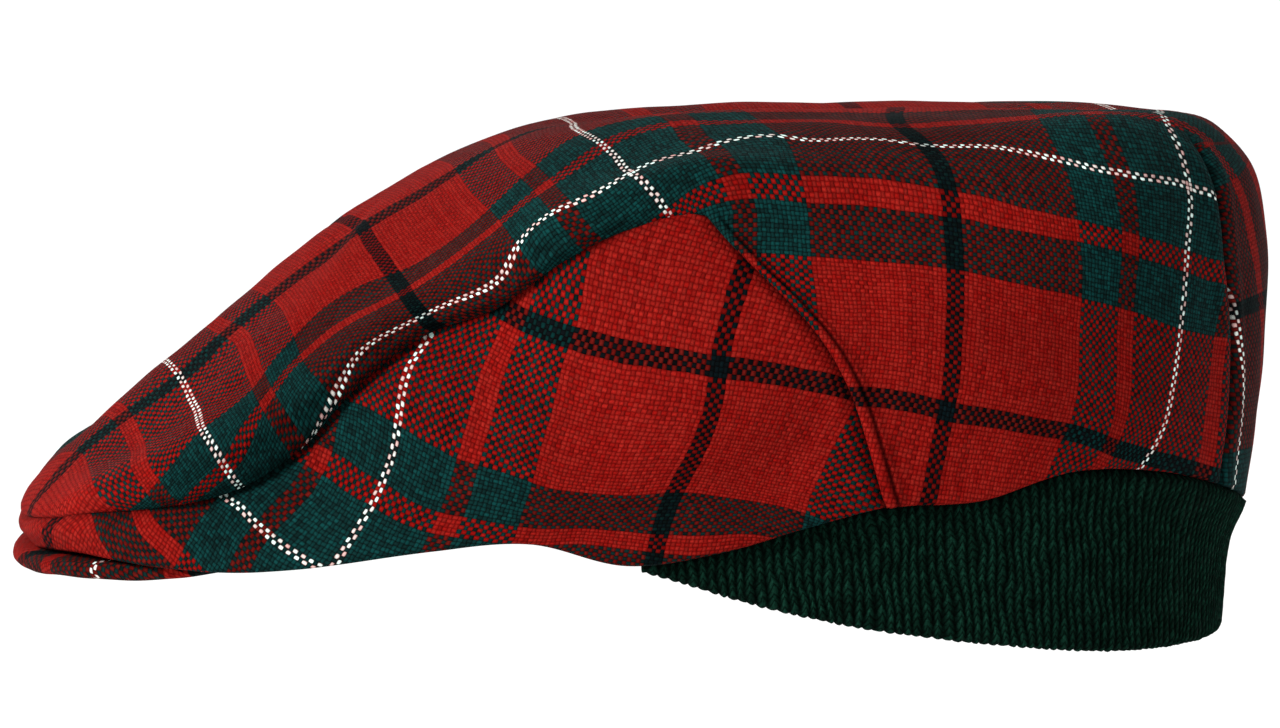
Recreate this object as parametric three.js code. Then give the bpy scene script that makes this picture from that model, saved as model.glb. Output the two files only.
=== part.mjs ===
// A flat cap of tartan cloth with a ribbed ear band, in millimetres, +Z up, peak towards -X.
// The wearer's left side is -Y, and the origin is the centre of the head opening.
// In the tables, x runs back from the tip of the peak, z up from the level of the front lip,
// and y out from the centre line, for one half of the cap. The other half mirrors it.
import * as THREE from 'three';

// Driving sizes
const HEAD_X = 155;
const HEAD_Z = 8;
const CLOTH = 2;
const GAP = 0.3;
const PEAK_THICK = 3.5;
const PEAK_EDGE_THICK = 2.2;
const KNIT_THICK = 3.5;
const TUCKED_IN = 13;

// Rows of a table as objects whose names are its columns
function table(columns, rows) {
  return rows.map((row) => Object.fromEntries(columns.map((name, i) => [name, row[i]])));
}

// Top of the cap along the centre line, from the middle of the front slope to the back shoulder
const SPINE = table(['x', 'z'], [
  [60, 65.6],
  [80, 78.1],
  [96, 86],
  [112, 92],
  [130, 95.8],
  [155, 97.2],
  [200, 97],
  [225, 96.5],
  [250, 94],
]);

// One rib a row, from the front centre to the back centre. A rib starts at startX on the centre line,
// is zNear high at 45% and zFar at 80% of its way out, swells by foldOut at foldUp above the crease,
// meets the crease, and runs down to the rim with a bulge. sharp is 1 for a crease, 0 for a smooth side.
const RIB_COLUMNS = ['startX', 'zNear', 'zFar', 'foldOut', 'foldUp', 'creaseX', 'creaseY', 'creaseZ',
  'rimX', 'rimY', 'rimZ', 'bulge', 'sharp'];
const RIBS = table(RIB_COLUMNS, [
  [80, 53.1, 29.8, -1.6, 3.2, 0.8, 0, 11.8, 2.4, 0, 4.8, 1.6, 0.1],
  [80, 53.1, 28.4, -1.4, 2.0, 3.2, 25, 13.4, 4.3, 25, 6, 1.5, 0.1],
  [80, 54.4, 28.8, 0.2, 1.8, 10.8, 46, 15.6, 11, 45, 7, 1.2, 0.3],
  [80, 57.8, 36.4, 2, 3.2, 24.5, 59.5, 17.6, 23.5, 60, 6, 1.2, 0.8],
  [80, 63, 45, 3, 5, 40, 62, 21, 41, 70, 5.8, 1.5, 1],
  [80, 69, 52.5, 3, 5, 54, 60, 29, 60, 76.5, 8, 2, 1],
  [84, 74, 61, 3, 6, 66, 59, 41.5, 79, 81, 10.8, 3, 1],
  [92, 80.5, 69.5, 3, 6.2, 80, 60, 52.3, 98, 84.5, 12.1, 4, 1],
  [104, 86.5, 78, 3, 6.5, 94, 66, 58, 117, 86.5, 7.5, 5, 1],
  [116, 91, 84, 2.5, 6.5, 107, 72.5, 68, 136, 87.5, 9.8, 5.5, 0.9],
  [130, 94, 87.5, 1.5, 6, 120, 76, 74.5, 154, 87.5, 14.6, 6, 0.7],
  [145, 95.3, 89.5, -1, 8, 135, 79, 77.4, 171, 86.5, 18.3, 5.5, 0.3],
  [170, 95.8, 90.5, -3, 10, 168, 84, 73, 191, 84, 19.1, 4, 0],
  [190, 96, 90.5, -4, 12, 200, 86.5, 68, 211, 80, 24.2, 3, 0],
  [205, 96.2, 92.8, -4, 14, 227, 79.5, 67, 232.5, 70, 23.1, 2.5, 0],
  [212, 96.4, 93.6, -4, 16.6, 252, 54, 67, 252.5, 48, 17.6, 2, 0],
  [215, 95.8, 92.9, -4.2, 17.6, 265.5, 27, 68, 262, 24, 13.2, 1.3, 0],
  [215, 95.6, 92.7, -4.2, 17.6, 269, 0, 68, 264, 0, 11.6, 1.2, 0],
]);
const SEAM_RIB = 11;
const BACK_RIB = RIBS.length - 1;
const NEAR_AT = 0.45;
const FAR_AT = 0.8;

// The top sags a little between two soft ridges
const SAG_DEPTH = 3.2;
const SAG_HALF_WIDTH = 17;
const SAG_FROM = [105, 140];
const SAG_TO = [232, 256];

// Soft folds and dimples: centre rib and level (0 to 1 is the top, 1 to 2 the side), reach and depth
const FOLDS = table(['rib', 'level', 'ribReach', 'levelReach', 'depth'], [
  [4.6, 1.55, 0.9, 0.28, 1.6],
  [8.6, 1.5, 0.7, 0.2, 1.8],
  [10.2, 0.62, 0.9, 0.22, 1.4],
  [13.2, 1.5, 1.0, 0.3, 1.5],
  [7.4, 0.72, 0.7, 0.18, 1.2],
]);

// Peak: its edge stands out below the cloth at the front and lies behind it further back
const PEAK_EDGE = table(['rib', 'outside'], [
  [0, 3.6],
  [1.4, 2.6],
  [2.1, 1.2],
  [2.7, -1.5],
  [3.2, -3.6],
  [4, -4],
  [9, -4],
]);
// Height of the peak's underside along its edge
const PEAK_LINE = table(['x', 'z'], [
  [-1, 0],
  [3, 0.7],
  [10, 1.4],
  [20, 1.6],
  [30, 2.4],
  [45, 5.6],
  [60, 7.9],
  [115, 15],
]);
const PEAK_LAST_RIB = 7.7;
const PEAK_ARCH = 4;
const OPENING_X = 161;
const OPENING_HALF_LENGTH = 103;
const OPENING_HALF_WIDTH = 80;
const PEAK_END_TURN = 1.068;
const PEAK_SHARES = [0, 0.05, 0.25, 0.5, 0.75, 0.95, 1];

// Ear band: its lower hem from the front end to the centre of the back
const HEM = table(['rib', 'z', 'inward'], [
  [8.2, 4.8, 0.2],
  [9, 0.4, 0.6],
  [10, -4.5, 1.2],
  [11, -8.7, 1.9],
  [12.3, -12.1, 2.2],
  [14, -15.4, 2.1],
  [15.3, -15.8, 2.1],
  [17, -16.6, 2.2],
]);

const BAND_SLACK = 0.7;
const BAND_INSIDE_RIM = CLOTH + GAP + BAND_SLACK;
const KNIT_EDGE_ROUND = 0.9;
const BAND_SHARES = [0, 0.06, 0.5, 0.94, 1];

// Steps of the meshes
const RIB_STEPS = [0, 0.5, 1, 1.5, 2, 2.5, 3, 3.5, 4, 4.5, 5, 5.5, 6, 6.5, 7, 7.5, 8, 8.5, 9, 9.5, 10, 10.5,
  SEAM_RIB, 11.5, 12, 12.5, 13, 13.5, 14, 14.5, 15, 15.5, 16, 16.5, BACK_RIB];
const TOP_LEVELS = [0, 0.14, 0.28, 0.42, 0.55, 0.67, 0.78, 0.87, 0.94];
const SIDE_LEVELS = [1.2, 1.4, 1.6, 1.8, 2];
const SEAM_GAP_IN_RIBS = 0.02;
const FRONT_GAP_IN_RIBS = 0.006;
const SMALL_RIB_STEP = 0.02;
const SMALL_LEVEL_STEP = 0.01;
const PEAK_STEPS = 34;
const BAND_HALF_STEPS = 30;

const CLOTH_GREEN = 0x2c3a34;
const CLOTH_RED = 0x5a2a28;
const KNIT_GREEN = 0x0c2a22;

function lerp(a, b, share) {
  return a + (b - a) * share;
}

// Weights of the two ends and their tangents at share u of a smooth stretch
function hermite(u) {
  const left = 1 - u;
  return [(1 + 2 * u) * left * left, u * left * left, u * u * (3 - 2 * u), -u * u * left];
}

function smoothstep(value, from, to) {
  const share = Math.min(Math.max((value - from) / (to - from), 0), 1);
  return share * share * (3 - 2 * share);
}

// Value of a column where another column, which rises from row to row, has the value x.
// The curve through the rows is smooth and never overshoots them.
function curveAt(rows, along, column, x) {
  const last = rows.length - 1;
  if (x <= rows[0][along]) return rows[0][column];
  if (x >= rows[last][along]) return rows[last][column];
  let i = 0;
  while (rows[i + 1][along] < x) i += 1;
  const rise = (k) => (rows[k + 1][column] - rows[k][column]) / (rows[k + 1][along] - rows[k][along]);
  const slope = (k) => {
    if (k <= 0) return rise(0);
    if (k >= last) return rise(last - 1);
    const before = rise(k - 1);
    const after = rise(k);
    if (before * after <= 0) return 0;
    return 2 * before * after / (before + after);
  };
  const width = rows[i + 1][along] - rows[i][along];
  const u = (x - rows[i][along]) / width;
  const [atStart, outOfStart, atEnd, intoEnd] = hermite(u);
  return atStart * rows[i][column] + outOfStart * width * slope(i)
    + atEnd * rows[i + 1][column] + intoEnd * width * slope(i + 1);
}

// Table row k of the ribs, mirrored past the front and the back centre
function ribRow(k) {
  let row = k;
  let side = 1;
  if (row < 0) {
    row = -row;
    side = -1;
  }
  if (row > BACK_RIB) {
    row = 2 * BACK_RIB - row;
    side = -1;
  }
  const mirrored = RIB_COLUMNS.map((name) => [name, RIBS[row][name] * (name.endsWith('Y') ? side : 1)]);
  return Object.fromEntries(mirrored);
}

// Sizes of the rib at a place between the rows
function ribSizes(rib) {
  const k = Math.min(Math.floor(rib), BACK_RIB - 1);
  const [before, from, to, after] = [ribRow(k - 1), ribRow(k), ribRow(k + 1), ribRow(k + 2)];
  const [atStart, outOfStart, atEnd, intoEnd] = hermite(rib - k);
  const sizes = {};
  for (const name of RIB_COLUMNS) {
    sizes[name] = atStart * from[name] + outOfStart * (to[name] - before[name]) / 2
      + atEnd * to[name] + intoEnd * (after[name] - from[name]) / 2;
  }
  sizes.startX = lerp(from.startX, to.startX, rib - k);
  return sizes;
}

function spineZ(x) {
  return curveAt(SPINE, 'x', 'z', x);
}

function spineSlope(x) {
  return (spineZ(x + 1) - spineZ(x - 1)) / 2;
}

function rimPoint(rib) {
  const r = ribSizes(rib);
  return new THREE.Vector3(r.rimX, r.rimY, r.rimZ);
}

// Level direction that points out of the cap at the rim
function outwardAt(rib) {
  const from = rimPoint(Math.max(rib - SMALL_RIB_STEP, 0));
  const to = rimPoint(Math.min(rib + SMALL_RIB_STEP, BACK_RIB));
  return new THREE.Vector3(from.y - to.y, to.x - from.x, 0).normalize();
}

// Point on a curve through nodes, with given first and last tangents, at share 0 to 1 of its length
function throughNodes(nodes, firstTangent, lastTangent, share) {
  const at = [0];
  for (let i = 1; i < nodes.length; i += 1) at.push(at[i - 1] + nodes[i].distanceTo(nodes[i - 1]));
  const place = share * at[at.length - 1];
  let i = 0;
  while (i < nodes.length - 2 && at[i + 1] < place) i += 1;
  const tangent = (k) => {
    if (k === 0) return firstTangent;
    if (k === nodes.length - 1) return lastTangent;
    const before = nodes[k].clone().sub(nodes[k - 1]).divideScalar(at[k] - at[k - 1]);
    const after = nodes[k + 1].clone().sub(nodes[k]).divideScalar(at[k + 1] - at[k]);
    const weight = (at[k] - at[k - 1]) / (at[k + 1] - at[k - 1]);
    return before.lerp(after, weight);
  };
  const width = at[i + 1] - at[i];
  const [atStart, outOfStart, atEnd, intoEnd] = hermite((place - at[i]) / width);
  const point = nodes[i].clone().multiplyScalar(atStart);
  point.addScaledVector(tangent(i), width * outOfStart);
  point.addScaledVector(nodes[i + 1], atEnd);
  point.addScaledVector(tangent(i + 1), width * intoEnd);
  return point;
}

// Smooth outer surface of the crown: level 0 to 1 is the top, 1 to 2 the side down to the rim
function crownPoint(rib, level) {
  const r = ribSizes(rib);
  const start = new THREE.Vector3(r.startX, 0, spineZ(r.startX));
  const crease = new THREE.Vector3(r.creaseX, r.creaseY, r.creaseZ);
  const rim = new THREE.Vector3(r.rimX, r.rimY, r.rimZ);
  const out = new THREE.Vector3(crease.x - start.x, crease.y, 0);
  const reach = out.length();
  out.normalize();
  const near = start.clone().addScaledVector(out, NEAR_AT * reach).setZ(r.zNear);
  const far = start.clone().addScaledVector(out, FAR_AT * reach).setZ(r.zFar);
  const fold = crease.clone().addScaledVector(out, r.foldOut);
  fold.z += r.foldUp;
  const middle = crease.clone().lerp(rim, 0.5).addScaledVector(outwardAt(rib), r.bulge);
  const firstTangent = out.clone().setZ(spineSlope(r.startX) * out.x);
  const over = crease.clone().sub(fold).normalize();
  const down = middle.clone().sub(crease).normalize();
  const smooth = over.clone().add(down).normalize();
  const share = THREE.MathUtils.clamp(r.sharp, 0, 1);
  let point;
  if (level <= 1) {
    const lastTangent = smooth.clone().lerp(over, share);
    point = throughNodes([start, near, far, fold, crease], firstTangent, lastTangent, level);
  } else {
    const sideTangent = smooth.clone().lerp(down, share);
    const rimTangent = rim.clone().sub(middle).normalize();
    point = throughNodes([crease, middle, rim], sideTangent, rimTangent, level - 1);
  }
  if (level < 1) {
    const alongCap = smoothstep(point.x, ...SAG_FROM) * (1 - smoothstep(point.x, ...SAG_TO));
    point.z -= SAG_DEPTH * alongCap * Math.exp(-((point.y / SAG_HALF_WIDTH) ** 2));
  }
  return point;
}

function foldDepth(rib, level) {
  let depth = 0;
  for (const fold of FOLDS) {
    const away = ((rib - fold.rib) / fold.ribReach) ** 2 + ((level - fold.level) / fold.levelReach) ** 2;
    depth += fold.depth * Math.exp(-away);
  }
  return depth;
}

// Closed geometry from points and triangles, with coincident points joined and empty triangles dropped
function closedGeometry(points, triangles) {
  const places = new Map();
  const kept = [];
  const joined = points.map((p) => {
    const key = [p.x, p.y, p.z].map((v) => Math.round(v * 1e4)).join(' ');
    if (!places.has(key)) {
      places.set(key, kept.length);
      kept.push(p);
    }
    return places.get(key);
  });
  const index = [];
  for (const triangle of triangles) {
    const [a, b, c] = triangle.map((i) => joined[i]);
    if (a !== b && b !== c && c !== a) index.push(a, b, c);
  }
  const geometry = new THREE.BufferGeometry();
  const place = kept.flatMap((p) => [p.x - HEAD_X, p.y, p.z - HEAD_Z]);
  geometry.setAttribute('position', new THREE.Float32BufferAttribute(place, 3));
  geometry.setIndex(index);
  geometry.computeVertexNormals();
  return geometry;
}

// Grid over the whole crown. Ribs run from the back, round the right, the front and the left, to the
// back again, and a rib below zero is its mirror image at the other side.
function crownGrid() {
  const half = [...RIB_STEPS, FRONT_GAP_IN_RIBS, SEAM_RIB - SEAM_GAP_IN_RIBS].sort((a, b) => a - b);
  const ribs = [...half.slice(1).map((v) => -v).reverse(), ...half];
  const rows = ribs.map((signed) => {
    const rib = Math.abs(signed);
    const side = signed < 0 ? -1 : 1;
    const sideLength = crownPoint(rib, 1).distanceTo(crownPoint(rib, 2));
    const levels = [...TOP_LEVELS, 1, 1 + GAP / sideLength, ...SIDE_LEVELS];
    return levels.map((level) => {
      const point = crownPoint(rib, level);
      const along = crownPoint(Math.min(rib + SMALL_RIB_STEP, BACK_RIB), level);
      along.sub(crownPoint(Math.max(rib - SMALL_RIB_STEP, 0), level));
      const across = crownPoint(rib, Math.min(level + SMALL_LEVEL_STEP, 2));
      across.sub(crownPoint(rib, Math.max(level - SMALL_LEVEL_STEP, 0)));
      const normal = along.cross(across).normalize();
      if (level === 0) {
        normal.set(-spineSlope(point.x), 0, 1).normalize();
      }
      if (rib === 0 || rib === BACK_RIB) {
        point.y = 0;
        normal.setY(0).normalize();
      }
      point.addScaledVector(normal, -foldDepth(rib, level));
      point.y *= side;
      normal.y *= side;
      return { point, normal };
    });
  });
  return { ribs, rows, creaseLevel: TOP_LEVELS.length };
}

// Shell over the chosen cells of the crown's grid, with a cloth wall inwards
function crownShell(grid, belongs) {
  const { ribs, rows } = grid;
  const levels = rows[0].length;
  const points = [];
  for (const row of rows) {
    for (const { point, normal } of row) {
      points.push(point.clone(), point.clone().addScaledVector(normal, -CLOTH));
    }
  }
  const at = (i, j, inner) => 2 * (i * levels + j) + inner;
  const chosen = (i, j) => {
    if (j < 0 || j >= levels - 1) return false;
    const wrapped = (i + ribs.length - 1) % (ribs.length - 1);
    return belongs(ribs[wrapped], ribs[wrapped + 1], j);
  };
  const triangles = [];
  const quad = (a, b, c, d) => triangles.push([a, b, c], [a, c, d]);
  for (let i = 0; i < ribs.length - 1; i += 1) {
    for (let j = 0; j < levels - 1; j += 1) {
      if (!chosen(i, j)) continue;
      quad(at(i, j, 0), at(i + 1, j, 0), at(i + 1, j + 1, 0), at(i, j + 1, 0));
      quad(at(i, j, 1), at(i, j + 1, 1), at(i + 1, j + 1, 1), at(i + 1, j, 1));
      if (!chosen(i - 1, j)) quad(at(i, j, 0), at(i, j + 1, 0), at(i, j + 1, 1), at(i, j, 1));
      if (!chosen(i + 1, j)) {
        quad(at(i + 1, j, 0), at(i + 1, j, 1), at(i + 1, j + 1, 1), at(i + 1, j + 1, 0));
      }
      if (j > 0 && !chosen(i, j - 1)) quad(at(i, j, 0), at(i, j, 1), at(i + 1, j, 1), at(i + 1, j, 0));
      if (!chosen(i, j + 1)) {
        quad(at(i, j + 1, 0), at(i + 1, j + 1, 0), at(i + 1, j + 1, 1), at(i, j + 1, 1));
      }
    }
  }
  return closedGeometry(points, triangles);
}

// Solid through closed sections with the same number of points, with flat ends
function loft(sections) {
  const size = sections[0].length;
  const points = sections.flat();
  const triangles = [];
  for (let i = 0; i < sections.length - 1; i += 1) {
    for (let j = 0; j < size; j += 1) {
      const k = (j + 1) % size;
      triangles.push([i * size + j, i * size + k, (i + 1) * size + k]);
      triangles.push([i * size + j, (i + 1) * size + k, (i + 1) * size + j]);
    }
  }
  const last = (sections.length - 1) * size;
  for (let j = 1; j < size / 2; j += 1) {
    const [a, b, c, d] = [j - 1, j, size - 1 - j, size - j];
    triangles.push([a, c, b], [a, d, c]);
    triangles.push([last + a, last + b, last + c], [last + a, last + c, last + d]);
  }
  return closedGeometry(points, triangles);
}

// Underside of the peak at a level place
function peakUnderside(x, y, share) {
  const edge = curveAt(PEAK_LINE, 'x', 'z', x);
  return edge + PEAK_ARCH * share * (1 - (y / OPENING_HALF_WIDTH) ** 2);
}

function peakSection(signed) {
  const rib = Math.abs(signed);
  const side = signed < 0 ? -1 : 1;
  const outer = rimPoint(rib).addScaledVector(outwardAt(rib), curveAt(PEAK_EDGE, 'rib', 'outside', rib));
  const turn = PEAK_END_TURN * rib / PEAK_LAST_RIB;
  const innerX = OPENING_X - OPENING_HALF_LENGTH * Math.cos(turn);
  const inner = new THREE.Vector3(innerX, OPENING_HALF_WIDTH * Math.sin(turn), 0);
  const faces = PEAK_SHARES.map((share) => {
    const p = outer.clone().lerp(inner, share);
    const half = (share === 0 || share === 1 ? PEAK_EDGE_THICK : PEAK_THICK) / 2;
    const middle = peakUnderside(p.x, p.y, share) + PEAK_THICK / 2;
    return [middle + half, middle - half].map((z) => new THREE.Vector3(p.x, p.y * side, z));
  });
  return [...faces.map(([above]) => above), ...faces.map(([, below]) => below).reverse()];
}

function peakGeometry() {
  const sections = [];
  for (let i = 0; i <= PEAK_STEPS; i += 1) {
    sections.push(peakSection(PEAK_LAST_RIB * (2 * i / PEAK_STEPS - 1)));
  }
  return loft(sections);
}

function bandSection(signed) {
  const rib = Math.abs(signed);
  const side = signed < 0 ? -1 : 1;
  const out = outwardAt(rib);
  const rim = rimPoint(rib);
  const topZ = rim.z + TUCKED_IN;
  const hemZ = curveAt(HEM, 'rib', 'z', rib);
  const inward = curveAt(HEM, 'rib', 'inward', rib);
  const faces = BAND_SHARES.map((share) => {
    const round = share === 0 || share === 1 ? KNIT_EDGE_ROUND : 0;
    const z = lerp(topZ, hemZ, share);
    const below = Math.max(0, rim.z - z) / (rim.z - hemZ);
    const outer = rim.clone().addScaledVector(out, -(BAND_INSIDE_RIM + round + inward * below)).setZ(z);
    const inner = outer.clone().addScaledVector(out, 2 * round - KNIT_THICK);
    return [outer, inner];
  });
  const loop = [...faces.map(([outer]) => outer), ...faces.map(([, inner]) => inner).reverse()];
  return loop.map((p) => new THREE.Vector3(p.x, p.y * side, p.z));
}

function bandGeometry() {
  const half = [];
  for (let i = 0; i <= BAND_HALF_STEPS; i += 1) {
    half.push(lerp(HEM[0].rib, BACK_RIB, i / BAND_HALF_STEPS));
  }
  const ribs = [...half.map((rib) => -rib), ...half.slice(0, -1).reverse()];
  return loft(ribs.map(bandSection));
}

function fabric(color) {
  return new THREE.MeshStandardMaterial({ color, roughness: 0.95, metalness: 0 });
}

const grid = crownGrid();
const crease = grid.creaseLevel;
const panelEnd = SEAM_RIB - SEAM_GAP_IN_RIBS;
const middleRib = (a, b) => Math.abs(a + b) / 2;
const ofTop = (a, b, j) => j < crease || middleRib(a, b) > SEAM_RIB;
const ofPanel = (a, b, j) => j > crease && middleRib(a, b) > FRONT_GAP_IN_RIBS && middleRib(a, b) < panelEnd;

const pieces = [
  ['crown_top', crownShell(grid, ofTop), CLOTH_GREEN],
  ['side_panel_left', crownShell(grid, (a, b, j) => ofPanel(a, b, j) && a < 0), CLOTH_RED],
  ['side_panel_right', crownShell(grid, (a, b, j) => ofPanel(a, b, j) && a > 0), CLOTH_RED],
  ['peak', peakGeometry(), CLOTH_RED],
  ['ear_band', bandGeometry(), KNIT_GREEN],
];

const cap = new THREE.Group();
cap.name = 'flat_cap';
for (const [name, geometry, color] of pieces) {
  const mesh = new THREE.Mesh(geometry, fabric(color));
  mesh.name = name;
  cap.add(mesh);
}

export default cap;
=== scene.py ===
# A flat cap of tartan cloth with a ribbed ear band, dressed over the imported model.
# In the tables, x runs back from the tip of the peak, z up from the level of the front lip and y out
# from the centre line, all in millimetres and for one half of the cap. The other half mirrors it.
import math

import bpy
import numpy as np
from mathutils import Matrix, Vector


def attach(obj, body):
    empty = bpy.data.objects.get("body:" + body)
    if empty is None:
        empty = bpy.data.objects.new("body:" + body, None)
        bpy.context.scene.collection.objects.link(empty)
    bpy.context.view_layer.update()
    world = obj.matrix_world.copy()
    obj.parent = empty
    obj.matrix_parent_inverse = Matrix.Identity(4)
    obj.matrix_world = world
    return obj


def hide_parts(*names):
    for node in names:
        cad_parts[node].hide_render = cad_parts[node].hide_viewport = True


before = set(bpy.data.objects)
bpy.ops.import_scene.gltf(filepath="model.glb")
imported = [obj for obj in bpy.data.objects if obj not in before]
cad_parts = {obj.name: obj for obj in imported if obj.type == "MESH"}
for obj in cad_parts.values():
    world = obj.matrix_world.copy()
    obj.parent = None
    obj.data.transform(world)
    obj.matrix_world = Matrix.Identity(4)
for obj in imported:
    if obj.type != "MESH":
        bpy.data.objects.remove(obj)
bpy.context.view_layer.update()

# Driving sizes, the same as in the solids
HEAD_X = 155
HEAD_Z = 8
CLOTH = 2
GAP = 0.3
PEAK_THICK = 3.5
KNIT_THICK = 3.5
TUCKED_IN = 13
MM = 0.001
MIRRORED = (1, -1, 1)

# Camera: turned towards the front and raised, at the distance where the outline fits, and aimed a
# little to the front of the cap's middle
CAMERA_TURN = math.radians(-10)
CAMERA_RISE = math.radians(4)
CAMERA_DISTANCE = 1.2
CAMERA_LENS = 155.9
CAMERA_SENSOR = 36
CAP_MIDDLE = Vector((0, 0, 0.035))
AIM_RIGHT = -0.021
AIM_UP = -0.0024
PHOTO_WIDTH = 1280
PHOTO_HEIGHT = 728


# Where the camera stands, and its directions to the right, up and back
def camera_pose():
    turn, rise = CAMERA_TURN, CAMERA_RISE
    right = Vector((math.cos(turn), math.sin(turn), 0))
    back = Vector((math.sin(turn) * math.cos(rise), -math.cos(turn) * math.cos(rise), math.sin(rise)))
    place = CAP_MIDDLE + CAMERA_DISTANCE * back
    aim = CAP_MIDDLE + AIM_RIGHT * right + AIM_UP * back.cross(right)
    back = (place - aim).normalized()
    right = Vector((0, 0, 1)).cross(back).normalized()
    return place, right, back.cross(right), back


def make_camera():
    place, right, up, back = camera_pose()
    camera = bpy.data.objects.new("camera", bpy.data.cameras.new("camera"))
    camera.data.sensor_width = CAMERA_SENSOR
    camera.data.lens = CAMERA_LENS
    camera.data.clip_start = 0.01
    camera.data.clip_end = 300
    turned = Matrix((right, up, back)).transposed().to_4x4()
    camera.matrix_world = Matrix.Translation(place) @ turned
    bpy.context.scene.collection.objects.link(camera)
    bpy.context.scene.camera = camera


make_camera()


# Rows of a table as one array for each named column
def table(columns, rows):
    return {name: np.array([row[i] for row in rows], float) for i, name in enumerate(columns)}


# Top of the cap along the centre line, from the middle of the front slope to the back shoulder
SPINE = table(["x", "z"], [
    [60, 65.6],
    [80, 78.6],
    [96, 86.5],
    [112, 92.2],
    [130, 95.8],
    [155, 97.2],
    [200, 97],
    [225, 96.5],
    [250, 94],
])

# One rib a row, from the front centre to the back centre. A rib starts at startX on the centre line,
# is zNear high at 45% and zFar at 80% of its way out, swells by foldOut at foldUp above the crease,
# meets the crease, and runs down to the rim with a bulge. sharp is 1 for a crease, 0 for a smooth side.
RIB_COLUMNS = ["startX", "zNear", "zFar", "foldOut", "foldUp", "creaseX", "creaseY", "creaseZ",
               "rimX", "rimY", "rimZ", "bulge", "sharp"]
RIBS = table(RIB_COLUMNS, [
    [80, 53.1, 29.8, -1.6, 3.2, 0.8, 0, 11.8, 2.4, 0, 4.8, 1.6, 0.1],
    [80, 53.1, 28.4, -1.4, 2.0, 3.2, 25, 13.4, 4.3, 25, 6, 1.5, 0.1],
    [80, 54.4, 28.8, 0.2, 1.8, 10.8, 46, 15.6, 11, 45, 7, 1.2, 0.3],
    [80, 57.8, 36.4, 2, 3.2, 24.5, 59.5, 17.6, 23.5, 60, 6, 1.2, 0.8],
    [80, 63, 45, 3, 5, 40, 62, 21, 41, 70, 5.8, 1.5, 1],
    [80, 69, 52.5, 3, 5, 54, 60, 29, 60, 76.5, 8, 2, 1],
    [84, 74, 61, 3, 6, 66, 59, 41.5, 79, 81, 10.8, 3, 1],
    [92, 80.5, 69.5, 3, 6.2, 80, 60, 52.3, 98, 84.5, 12.1, 4, 1],
    [104, 86.5, 78, 3, 6.5, 94, 66, 58, 117, 86.5, 7.5, 5, 1],
    [116, 91, 84, 2.5, 6.5, 107, 72.5, 68, 136, 87.5, 9.8, 5.5, 0.9],
    [130, 94, 87.5, 1.5, 6, 120, 76, 74.5, 154, 87.5, 14.6, 6, 0.7],
    [145, 95.3, 89.5, -1, 8, 135, 79, 77.4, 171, 86.5, 18.3, 5.5, 0.3],
    [170, 95.8, 90.5, -3, 10, 168, 84, 73, 191, 84, 19.1, 4, 0],
    [190, 96, 90.5, -4, 12, 200, 86.5, 68, 211, 80, 24.2, 3, 0],
    [205, 96.2, 92.8, -4, 14, 227, 79.5, 67, 232.5, 70, 23.1, 2.5, 0],
    [212, 96.4, 93.6, -4, 16.6, 252, 54, 67, 252.5, 48, 17.6, 2, 0],
    [215, 95.8, 92.9, -4.2, 17.6, 265.5, 27, 68, 262, 24, 13.2, 1.3, 0],
    [215, 95.6, 92.7, -4.2, 17.6, 269, 0, 68, 264, 0, 11.6, 1.2, 0],
])
SEAM_RIB = 11
DART_RIB = 15
DART_SEEN_RIB = 14.79
BACK_RIB = 17
NEAR_AT = 0.45
FAR_AT = 0.8

# The top sags a little between two soft ridges
SAG_DEPTH = 3.2
SAG_HALF_WIDTH = 17
SAG_FROM = (105, 140)
SAG_TO = (232, 256)

# Soft folds and dimples: centre rib and level (0 to 1 is the top, 1 to 2 the side), reach and depth
FOLDS = table(["rib", "level", "ribReach", "levelReach", "depth"], [
    [4.6, 1.55, 0.9, 0.28, 1.6],
    [8.6, 1.5, 0.7, 0.2, 1.8],
    [10.2, 0.62, 0.9, 0.22, 1.4],
    [13.2, 1.5, 1.0, 0.3, 1.5],
    [9.9, 1.8, 0.8, 0.1, 1.5],
    [8.3, 1.86, 0.6, 0.1, 1.3],
    [7.4, 0.72, 0.7, 0.18, 0.5],
    [0, 0.18, 3, 0.075, -0.7],
])

# Peak: its edge stands out below the cloth at the front and lies behind it further back
PEAK_EDGE = table(["rib", "outside"], [
    [0, 3.6],
    [1.4, 2.6],
    [2.1, 1.2],
    [2.7, -1.5],
    [3.2, -3.6],
    [4, -4],
    [9, -4],
])
# Height of the peak's underside along its edge
PEAK_LINE = table(["x", "z"], [
    [-1, 0],
    [3, 0.7],
    [10, 1.4],
    [20, 1.6],
    [30, 2.4],
    [45, 5.6],
    [60, 7.9],
    [115, 15],
])
PEAK_LAST_RIB = 7.7
PEAK_ARCH = 4
OPENING_X = 161
OPENING_HALF_LENGTH = 103
OPENING_HALF_WIDTH = 80
PEAK_END_TURN = 1.068

# Ear band: its lower hem from the front end to the centre of the back
HEM = table(["rib", "z", "inward"], [
    [8.2, 4.8, 0.2],
    [9, 0.4, 0.6],
    [10, -4.5, 1.2],
    [11, -8.7, 1.9],
    [12.3, -12.1, 2.2],
    [14, -15.4, 2.1],
    [15.3, -15.8, 2.1],
    [17, -16.6, 2.2],
])
BAND_SLACK = 0.7
BAND_INSIDE_RIM = CLOTH + GAP + BAND_SLACK

# Check of the cloth, in threads from the middle of the near-black line to the middle of the white one
HALF_SETT = 64
SETT_STOPS = [("black", 0), ("red", 2), ("green", 32), ("red", 44), ("green", 49), ("white", 63)]
# Where the crosswise black and white lines meet the centre line, front to back, 64 threads apart
CROSS_LINES_X = np.array([31, 69.5, 117, 183.5, 242.8])
CROSS_LINES_THREAD = HALF_SETT * np.array([-1, 0, 1, 2, 3])

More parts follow.
